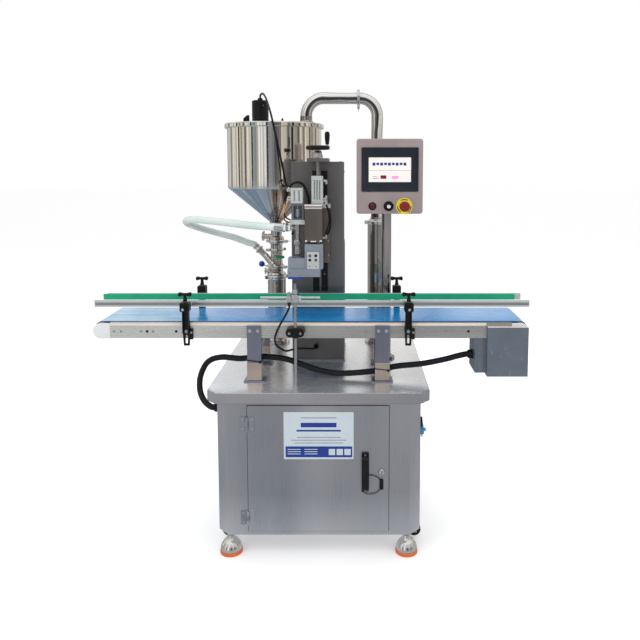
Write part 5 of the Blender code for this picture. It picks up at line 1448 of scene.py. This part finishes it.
def make_valve():
    x, y = -0.185, MIDDLE["valve_body"].y
    low, high = LOW["valve_body"].z, HIGH["valve_body"].z
    body = lathe([(0.018, high), (0.03, high), (0.03, high - 0.02), (0.0238, high - 0.024), (0.0238, 1.072),
                  (0.031, 1.068), (0.033, 1.058), (0.033, 1.044), (0.029, 1.04), (0.0255, 1.032),
                  (0.0255, 0.958),
                  (0.0275, 0.95), (0.0275, 0.918), (0.036, 0.914), (0.041, 0.906), (0.041, low + 0.001),
                  (0.018, low + 0.001)], (x, y, 0.0), steps=64, ease=0.0014)
    clamps = clamp_ring((x, y, high - 0.011), UP, 0.042, 0.016, 200, 0.006)
    for z, radius, width, turn in ((1.048, 0.0365, 0.014, 165), (1.012, 0.033, 0.012, 30),
                                   (0.9375, 0.0375, 0.014, 150), (0.8925, 0.044, 0.016, 205)):
        clamps += clamp_ring((x, y, z), UP, radius, width, turn)
    clamps += clamp_ring((x - 0.012, y - 0.0215, 0.949), (-1, 0.5, 1), 0.0195, 0.01, 120)
    high_end = Vector((x - 0.077, y, 1.015))
    along = Vector((-1.0, 0.0, 1.0)).normalized()
    bend = smooth_route([high_end - along * 0.01, (x - 0.052, y - 0.001, 0.99), (x - 0.032, y - 0.01, 0.969),
                         (x - 0.013, y - 0.021, 0.95), (x - 0.002, y - 0.0245, 0.9405)], 0.004)
    branch = [sweep(bend, 0.0138, 40, bore=0.009),
              lathe([(0.009, 0.0), (0.0142, 0.0), (0.0192, 0.006), (0.0197, 0.008), (0.0197, 0.0118),
                     (0.009, 0.0118)],
                    high_end - along * 0.012, along, steps=48)]
    strap = [lathe([(0.0146, 0.0), (0.0156, 0.0), (0.0156, 0.01), (0.0146, 0.01)],
                   high_end + along * 0.01, along, steps=44, ease=0.0003)]
    housing = lathe([(0.008, 0.0355), (0.0125, 0.0355), (0.015, 0.0325), (0.015, 0.01), (0.008, 0.01)],
                    (x, y, 0.985), TO_FRONT, steps=48)
    top_port = [rod((x - 0.02, y, 1.069), (x - 0.058, y, 1.069), 0.012, sides=40),
                lathe([(0.0, 0.01), (0.0175, 0.01), (0.019, 0.008), (0.019, 0.0), (0.0, 0.0)],
                      (x - 0.052, y, 1.069), (-1, 0, 0), steps=44)]
    port_screws = hex_bolt((x - 0.052, y - 0.006, 1.0865), (-0.2, 0, 1), 0.0034, 0.006)
    ties = [rod((x + dx, y - 0.026, 0.948), (x + dx, y - 0.026, 1.036), 0.0026, sides=16)
            for dx in (-0.014, 0.014)]
    knob_at = Vector((-0.249, y - 0.004, 0.949))
    knob_stem = rod((x - 0.022, y - 0.002, 0.93), knob_at, 0.0032, sides=20)
    ball = lathe([(0.0, -0.013)] + [(0.013 * math.cos(t), 0.013 * math.sin(t))
                                    for t in [math.radians(a) for a in range(-80, 81, 10)]] + [(0.0, 0.013)],
                 knob_at, steps=32, ease=0.0)
    lower = [rod((x - 0.026, y, 0.918), (x - 0.052, y, 0.918), 0.0095, sides=32),
             lathe([(0.0, 0.006), (0.0135, 0.006), (0.015, 0.004), (0.015, 0.0), (0.0, 0.0)],
                   (x - 0.046, y, 0.918), (-1, 0, 0), steps=40)]
    piece("valve_assembly", "machine", [
        ("valve", [body]), ("polished", [*branch, housing, *top_port, *lower]),
        ("chrome", [*clamps, *ties, *strap, knob_stem]), ("bare", port_screws), ("blue", [ball]),
    ], ["valve_body"])

    axis_z = 0.985
    hub = lathe([(0.0, 0.048), (0.006, 0.048), (0.0076, 0.046), (0.0076, 0.0165), (0.0, 0.0165)],
                (x, y, axis_z), TO_FRONT, steps=36)
    arm_y = (y - 0.0518, y - 0.045)
    arm = plate([[(x - 0.008, axis_z - 0.006), (x + 0.012, axis_z - 0.006), (x + 0.016, axis_z - 0.005)]
                 + arc((x + 0.034, axis_z), 0.006, -80, 80, 8)
                 + [(x + 0.016, axis_z + 0.005), (x + 0.012, axis_z + 0.006), (x - 0.008, axis_z + 0.006)]],
                *arm_y, "Y", 0.0014)
    nut = rod((x, y - 0.0521, axis_z), (x, y - 0.0515, axis_z), 0.0048, sides=6, ease=0.0)
    piece("valve_lever_handle", "valve_lever", [("lever", [arm]), ("polished", [hub]), ("bare", [nut])],
          ["valve_lever"])


def make_metering():
    at = foot_of("metering_cylinder")
    low, high = LOW["metering_cylinder"].z, HIGH["metering_cylinder"].z
    barrel = lathe([(0.035, high), (0.035, low + 0.02), (0.0385, low + 0.014), (0.0548, low + 0.012),
                    (0.0548, low), (0.0095, low), (0.0095, low + 0.01), (0.0305, low + 0.01), (0.0305, high)],
                   at, steps=80, ease=0.0012)
    bolts = [part for place in spread(at, 0.047, low + 0.0118, 30, 6)
             for part in hex_bolt(place, UP, 0.0038, 0.005)]
    ties = [rod(*ends, 0.0022, sides=14) for ends in zip(spread(at, 0.04, low + 0.012, 30, 6),
                                                         spread(at, 0.04, high - 0.001, 30, 6))]
    piece("metering_cylinder_barrel", "machine", [("valve", [barrel]), ("chrome", ties), ("bare", bolts)],
          ["metering_cylinder"])
    dress("bare", "metering_piston", ease=0.0, slot="polished_steel")


# ---------------------------------------------------------------- operator panel
def make_panel():
    low, high = LOW["operator_panel"], Vector((0.412, -0.05, HIGH["operator_panel"].z))
    x, z = (low.x, high.x), (low.z, high.z)
    face, back = low.y, -0.05
    post = Vector((0.28, -0.008, 0.0))
    case = slab(x, z, 0.011, face, back, "Y", 0.0035, 8)
    lid = slab(inset(x, 0.0035), inset(z, 0.0035), 0.008, *around(back, 0.0012), "Y", 0.001, 8)
    neck = box(around(post.x, 0.02), (back - 0.004, post.y - 0.02), (1.27, 1.33), 0.002)
    collar = lathe([(0.0199, 1.335), (0.0292, 1.335), (0.03, 1.332), (0.03, 1.268), (0.0292, 1.265),
                    (0.0199, 1.265)], post, steps=56)
    heads = screws(post.x, post.y + 0.03, (1.285, 1.315), (0, 1, 0), 0.004, 0.004)
    heads += screws(inset(x, 0.014), back + 0.001, inset(z, 0.014), (0, 1, 0), 0.003, 0.0018)
    piece("operator_panel_case", "panel", [("panel", [case, lid, neck, collar]), ("bare", heads)],
          ["operator_panel"])

    bezel_x, bezel_z = (0.181, 0.394), (1.276, 1.441)
    view_x, view_z = (0.2075, 0.3665), (1.312, 1.404)
    bezel = plate([rounded(bezel_x, bezel_z, 0.004), rounded(view_x, view_z, 0.0012)], face - 0.0042,
                  face + 0.002,
                  "Y", ease=0.0006)
    rim = plate([rounded((bezel_x[0] - 0.0018, bezel_x[1] + 0.0018), (bezel_z[0] - 0.0018, bezel_z[1] + 0.0018),
                         0.005),
                 rounded(bezel_x, bezel_z, 0.004)], face - 0.0012, face + 0.002, "Y", 0.0005)
    screen = slab(view_x, view_z, 0.001, face - 0.0026, face + 0.002, "Y", 0.0002)

    def mark(u, v):
        return slab(u, v, min(0.0012, (v[1] - v[0]) * 0.3), face - 0.003, face - 0.0024, "Y", 0.0001, 3)

    blue_marks = [mark((0.222 + 0.0145 * i, 0.222 + 0.0145 * i + 0.0105), (1.3735 + 0.002 * (i % 2), 1.3845))
                  for i in range(9)]
    buttons = [mark((0.252, 0.274), (1.324, 1.337))]
    pinks = [mark((0.295, 0.319), (1.324, 1.335))]
    lines = [mark((0.2085, 0.3655), (1.3545, 1.3555)), mark((0.222, 0.244), (1.324, 1.326)),
             mark((0.222, 0.24), (1.331, 1.333))]
    piece("operator_screen", "panel", [
        ("glass", [bezel]), ("bare", [rim]), ("screen", [screen]), ("label_blue", blue_marks), ("red", buttons),
        ("pink", pinks), ("label_grey", lines)])

    lamp_at = (0.222, face, MIDDLE["stop_button"].z)
    ring = lathe([(0.0115, 0.0045), (0.015, 0.0035), (0.0152, 0.0), (0.0115, 0.0)], lamp_at, TO_FRONT, steps=48)
    lens = lathe([(0.0, 0.0085), (0.007, 0.0078), (0.0108, 0.005), (0.0114, 0.003), (0.0114, 0.0), (0.0, 0.0)],
                 lamp_at, TO_FRONT, steps=48, ease=0.001)
    piece("run_lamp", "panel", [("black", [ring]), ("lamp", [lens])])
    stop = MIDDLE["stop_button"]
    yellow = lathe([(0.0095, 0.0018), (0.03, 0.0018), (0.031, 0.0008), (0.031, 0.0), (0.0095, 0.0)],
                   (stop.x, face, stop.z), TO_FRONT, steps=64, ease=0.0004)
    arrow = [plate([arc((stop.x, stop.z), 0.0272, a, a + 62, 8)
                    + arc((stop.x, stop.z), 0.0242, a + 62, a, 8)],
                   face - 0.0024, face - 0.0014, "Y", 0.0001) for a in (60, 180, 300)]
    sleeve = lathe([(0.0095, 0.012), (0.0135, 0.012), (0.015, 0.0105), (0.015, 0.0), (0.0095, 0.0)],
                   (stop.x, face, stop.z), TO_FRONT, steps=48)
    base = MIDDLE["selector_switch"]
    collar = lathe([(0.0143, 0.0052), (0.018, 0.004), (0.019, 0.001), (0.019, 0.0), (0.0143, 0.0)],
                   (base.x, face, base.z), TO_FRONT, steps=48)
    piece("button_surrounds", "panel", [("yellow", [yellow]), ("black", [*arrow, sleeve, collar])])

    front = LOW["stop_button"].y
    reach = HIGH["stop_button"].x - stop.x
    head = lathe([(0.0, 0.0), (reach - 0.007, 0.0), (reach - 0.001, -0.0035), (reach, -0.007),
                  (reach - 0.0005, -0.0095), (0.015, -0.013), (0.0, -0.013)], (stop.x, front, stop.z), TO_FRONT,
                 steps=56, ease=0.0016)
    stem = rod((stop.x, front + 0.01, stop.z), (stop.x, HIGH["stop_button"].y, stop.z), 0.008, sides=32)
    pad = [plate([arc((stop.x, stop.z), 0.0115, a, a + 80, 8) + arc((stop.x, stop.z), 0.0102, a + 80, a, 8)],
                 front - 0.0001, front + 0.0012, "Y", 0.0001) for a in (20, 200)]
    piece("stop_mushroom", "stop_button", [("red", [head, *pad]), ("black", [stem])],
          ["stop_button"])

    front = LOW["selector_switch"].y
    disc = lathe([(0.0, 0.0), (0.0105, 0.0), (0.0132, -0.003), (0.0138, -0.009), (0.0, -0.009)],
                 (base.x, face - 0.0098, base.z), TO_FRONT, steps=48, ease=0.001)
    bar = box(around(base.x, 0.0044), (front, face - 0.008), around(base.z, 0.0124), 0.0016, segments=3)
    mark_bar = box(around(base.x, 0.001), (front - 0.0009, front + 0.001), (base.z + 0.0005, base.z + 0.0065),
                   0.0003)
    shaft = rod((base.x, face - 0.004, base.z), (base.x, HIGH["selector_switch"].y, base.z), 0.008, sides=28)
    dot = lathe([(0.0, 0.0006), (0.0066, 0.0006), (0.007, 0.0), (0.007, -0.0115), (0.0, -0.0115)],
                (base.x, front, base.z), TO_FRONT, steps=32, ease=0.0006)
    piece("selector_knob", "selector", [("black", [disc, mark_bar, bar, shaft]), ("white", [dot])],
          ["selector_switch"])
    make_post(post)


def make_post(post):
    floor = TABLE_TOP + GAP
    tube = lathe([(0.0, HIGH["panel_post"].z), (0.017, HIGH["panel_post"].z),
                  (0.0195, HIGH["panel_post"].z - 0.002),
                  (0.0195, floor + 0.006), (0.0, floor + 0.006)], post, steps=56)
    flange = lathe([(0.019, 0.012), (0.0215, 0.009), (0.0355, 0.0078), (0.0355, 0.0), (0.019, 0.0)],
                   (post.x, post.y, floor), steps=56)
    bolts = [part for at in spread(post, 0.0285, floor + 0.0076, 45, 4)
             for part in hex_bolt(at, UP, 0.0034, 0.0045)]
    piece("panel_post_tube", "machine", [("tube", [tube, flange]), ("bare", bolts)],
          ["panel_post"])


# ---------------------------------------------------------------- bottle sensor
def make_bottle_sensor():
    x, y = -0.052, -0.338
    low, high = LOW["sensor_stand"], HIGH["sensor_stand"]
    post = rod((x, y, low.z), (x, y, high.z), 0.005, sides=28, ease=0.001)
    cross = rod((-0.176, y + 0.02, 0.912), (0.034, y + 0.02, 0.912), 0.004, sides=24, ease=0.0008)
    rail_face = BELT_LINE - 0.121 - GAP
    oval = arc((x + 0.015, 0.791), 0.0165, -75, 75, 10) + arc((x - 0.018, 0.791), 0.0165, 105, 255, 10)
    knobs = [lathe([(0.0, 0.005), (0.006, 0.005), (0.0075, 0.0035), (0.0075, 0.0), (0.0, 0.0)],
                   (x + dx, y - 0.007, 0.791), TO_FRONT, steps=28) for dx in (-0.021, 0.018)]
    clamp = plate([oval], y - 0.007, rail_face, "Y", 0.003)
    boss = lathe([(0.0052, 0.036), (0.01, 0.036), (0.0105, 0.034), (0.0105, 0.002), (0.01, 0.0), (0.0052, 0.0)],
                 (x, y, 0.773), steps=32)
    heads = screws((x - 0.021, x + 0.018), y - 0.0115, 0.791, TO_FRONT, 0.0042, 0.001)
    upper = [box(around(x, 0.0125), (y - 0.009, y + 0.007), (0.899, 0.9255), 0.003, segments=3),
             box(around(x, 0.0115), (y + 0.0085, y + 0.031), (0.9, 0.9245), 0.003, segments=3)]
    wing = wing_nut((x + 0.011, y, 0.912), (1, 0, 0.2), 0.011, 0.6)
    second = [lathe(disc(0.009, 0.014, 0.0052), (x, y, 0.93), steps=28),
              rod((x - 0.013, y, 0.9372), (x - 0.005, y, 0.9372), 0.0026, sides=6)]
    eye = Vector((x - 0.021, y, 0.888))
    barrel = [lathe([(0.0, 0.047), (0.0048, 0.047), (0.006, 0.0458)]
                    + [(0.0064 - 0.0004 * (i % 2), 0.044 - 0.001 * i) for i in range(32)]
                    + [(0.006, 0.011), (0.005, 0.01), (0.0, 0.01)], eye, steps=28, ease=0.0001),
              rod(eye + Vector((0, 0, 0.036)), eye + Vector((0, 0, 0.0395)), 0.0088, sides=6, ease=0.0005)]
    boot = lathe([(0.0, 0.0102), (0.006, 0.0102), (0.006, 0.005), (0.0046, 0.0), (0.0, 0.0)], eye, steps=28)
    holder = box((x - 0.029, x - 0.013), around(y, 0.0095), (0.9022, 0.9208), 0.0022, segments=3)
    lens = lathe([(0.0, 0.0474), (0.004, 0.0474), (0.0044, 0.0468), (0.0, 0.0468)], eye, steps=24, ease=0.0)
    piece("sensor_stand_assembly", "machine", [
        ("bare", [post, *barrel]), ("bright", [cross]), ("chrome", [*upper, *wing, *second, *heads, holder]),
        ("black", [clamp, boss, *knobs, boot]), ("lamp", [lens]),
    ], ["sensor_stand"])


# ---------------------------------------------------------------- stage
FLOOR_RADIUS = 40.0


def make_world():
    """Plain white to the camera, even white for soft light, and bright and dark panels in mirrors."""
    world = bpy.data.worlds.new("studio")
    bpy.context.scene.world = world
    world.use_nodes = True
    world.node_tree.nodes.clear()

    def node(kind, inputs=None, **settings):
        return add_node(world.node_tree, kind, inputs, **settings)

    def between(value, start, end, low, high):
        return node("MapRange", {"Value": value, "From Min": start, "From Max": end, "To Min": low,
                                 "To Max": high}).outputs[0]

    parts = node("SeparateXYZ", {0: node("TexCoord").outputs["Generated"]}).outputs
    forward = node("Math", {0: parts["Y"], 1: -1.0}, operation="MULTIPLY").outputs[0]
    angle = node("Math", {0: parts["X"], 1: forward}, operation="ARCTAN2").outputs[0]
    ramp = node("ValToRGB", {0: between(angle, -math.pi, math.pi, 0.0, 1.0)})
    panels = [  # from this azimuth in degrees, the tone that mirrors see; 0 is where the operator stands
        (-180, tone(246, 246, 244)), (-152, tone(96, 96, 96)), (-147, tone(226, 226, 222)),
        (-125, tone(160, 160, 156)), (-119, tone(232, 230, 224)), (-92, tone(84, 82, 80)),
        (-86, tone(222, 216, 206)),
        (-71, tone(140, 138, 134)), (-66, tone(242, 238, 226)), (-51, tone(52, 54, 58)),
        (-47, tone(150, 164, 172)),
        (-37, tone(250, 250, 248)), (-14, tone(76, 76, 78)), (-9, tone(158, 162, 168)), (5, tone(86, 88, 94)),
        (12, tone(140, 136, 132)), (22, tone(214, 210, 202)), (34, tone(124, 128, 134)),
        (40, tone(200, 196, 189)),
        (46, tone(56, 52, 50)), (51, tone(184, 177, 168)), (62, tone(84, 78, 72)), (66, tone(218, 210, 199)),
        (76, tone(152, 146, 138)), (83, tone(228, 220, 210)), (98, tone(76, 72, 66)),
        (102, tone(216, 209, 200)),
        (117, tone(166, 158, 150)), (128, tone(240, 234, 228)), (140, tone(176, 166, 158)),
        (146, tone(244, 242, 238)),
    ]
    ramp.color_ramp.interpolation = "CONSTANT"
    ramp.color_ramp.elements.remove(ramp.color_ramp.elements[1])
    for i, (azimuth, colour) in enumerate(panels):
        place = (azimuth + 180) / 360
        stop = ramp.color_ramp.elements[0] if i == 0 else ramp.color_ramp.elements.new(place)
        stop.position = place
        stop.color = (*colour, 1.0)
    lift = between(parts["Z"], 0.25, 0.8, 0.0, 1.0)
    row = node("CombineXYZ", {"X": angle}).outputs[0]
    fine = node("TexNoise", {"Vector": row, "Scale": 9.0, "Detail": 5.0}).outputs["Fac"]
    slats = between(fine, 0.4, 0.58, 0.42, 1.2)
    room = node("VectorMath", {0: ramp.outputs[0], "Scale": slats}, operation="SCALE").outputs[0]
    sky = node("Mix", {0: lift, 6: room, 7: (0.86, 0.88, 0.9, 1.0)}, data_type="RGBA").outputs[2]
    rays = node("LightPath").outputs
    white = (1.0, 1.0, 1.0, 1.0)
    soft, mirrored, seen = [node("Background", {"Color": colour, "Strength": strength}).outputs[0]
                            for colour, strength in ((white, 0.8), (sky, 1.0), (white, 1.0))]
    mirrored = node("MixShader", {0: rays["Is Glossy Ray"], 1: soft, 2: mirrored}).outputs[0]
    seen = node("MixShader", {0: rays["Is Camera Ray"], 1: mirrored, 2: seen}).outputs[0]
    node("OutputWorld", {"Surface": seen})


def make_floor():
    """A pale floor that the camera and soft light see as white, and that mirrors see as a grey floor."""
    look = Look("studio_floor", (0.92, 0.92, 0.92), 0.7, Emission_Strength=0.25)
    look.shader.inputs["Emission Color"].default_value = (1.0, 1.0, 1.0, 1.0)
    look.feed("Base Color", look.mix(look.between(look.noise(2.0, 2.0), 0.0, 1.0), (0.91, 0.91, 0.91),
                                     (0.94, 0.94, 0.94)))
    broad = look.between(look.noise(1.6, 2.0), 0.0, 1.0)
    grey = look.node("Emission", {"Color": look.mix(broad, (0.3, 0.33, 0.38), (0.5, 0.5, 0.52))})
    swap = look.node("MixShader", {0: look.node("LightPath").outputs["Is Glossy Ray"],
                                   1: look.shader.outputs[0], 2: grey.outputs[0]})
    look.tree.links.new(swap.outputs[0], look.tree.nodes["Material Output"].inputs["Surface"])
    bm = bmesh.new()
    bmesh.ops.create_circle(bm, cap_ends=True, segments=96, radius=FLOOR_RADIUS)
    mesh = bpy.data.meshes.new("studio_floor")
    bm.to_mesh(mesh)
    bm.free()
    mesh.materials.append(look.material)
    floor = bpy.data.objects.new("studio_floor", mesh)
    floor.location.z = -0.0005
    bpy.context.scene.collection.objects.link(floor)


def make_lights():
    for name, at, size, power in (("key", (-2.2, -2.6, 3.2), 1.8, 40.0), ("fill", (2.6, -2.2, 2.2), 2.2, 20.0),
                                  ("top", (0.2, 0.4, 4.0), 2.6, 36.0), ("back", (0.0, 3.2, 2.6), 2.4, 28.0)):
        data = bpy.data.lights.new(name, "AREA")
        data.shape, data.size, data.energy = "DISK", size, power
        light = bpy.data.objects.new(name, data)
        light.location = at
        light.rotation_euler = (Vector((0.0, 0.0, 0.9)) - Vector(at)).to_track_quat("-Z", "Y").to_euler()
        light.visible_camera = False
        light.visible_glossy = False
        bpy.context.scene.collection.objects.link(light)


make_camera()
make_cords()
make_cabinet()
make_feet()
make_conveyor()
make_guides()
make_drive()
make_column()
make_head()
make_nozzle()
make_hopper()
make_feed_pipe()
make_valve()
make_metering()
make_panel()
make_bottle_sensor()
make_world()
make_floor()
make_lights()
bpy.context.scene.view_settings.view_transform = "Standard"
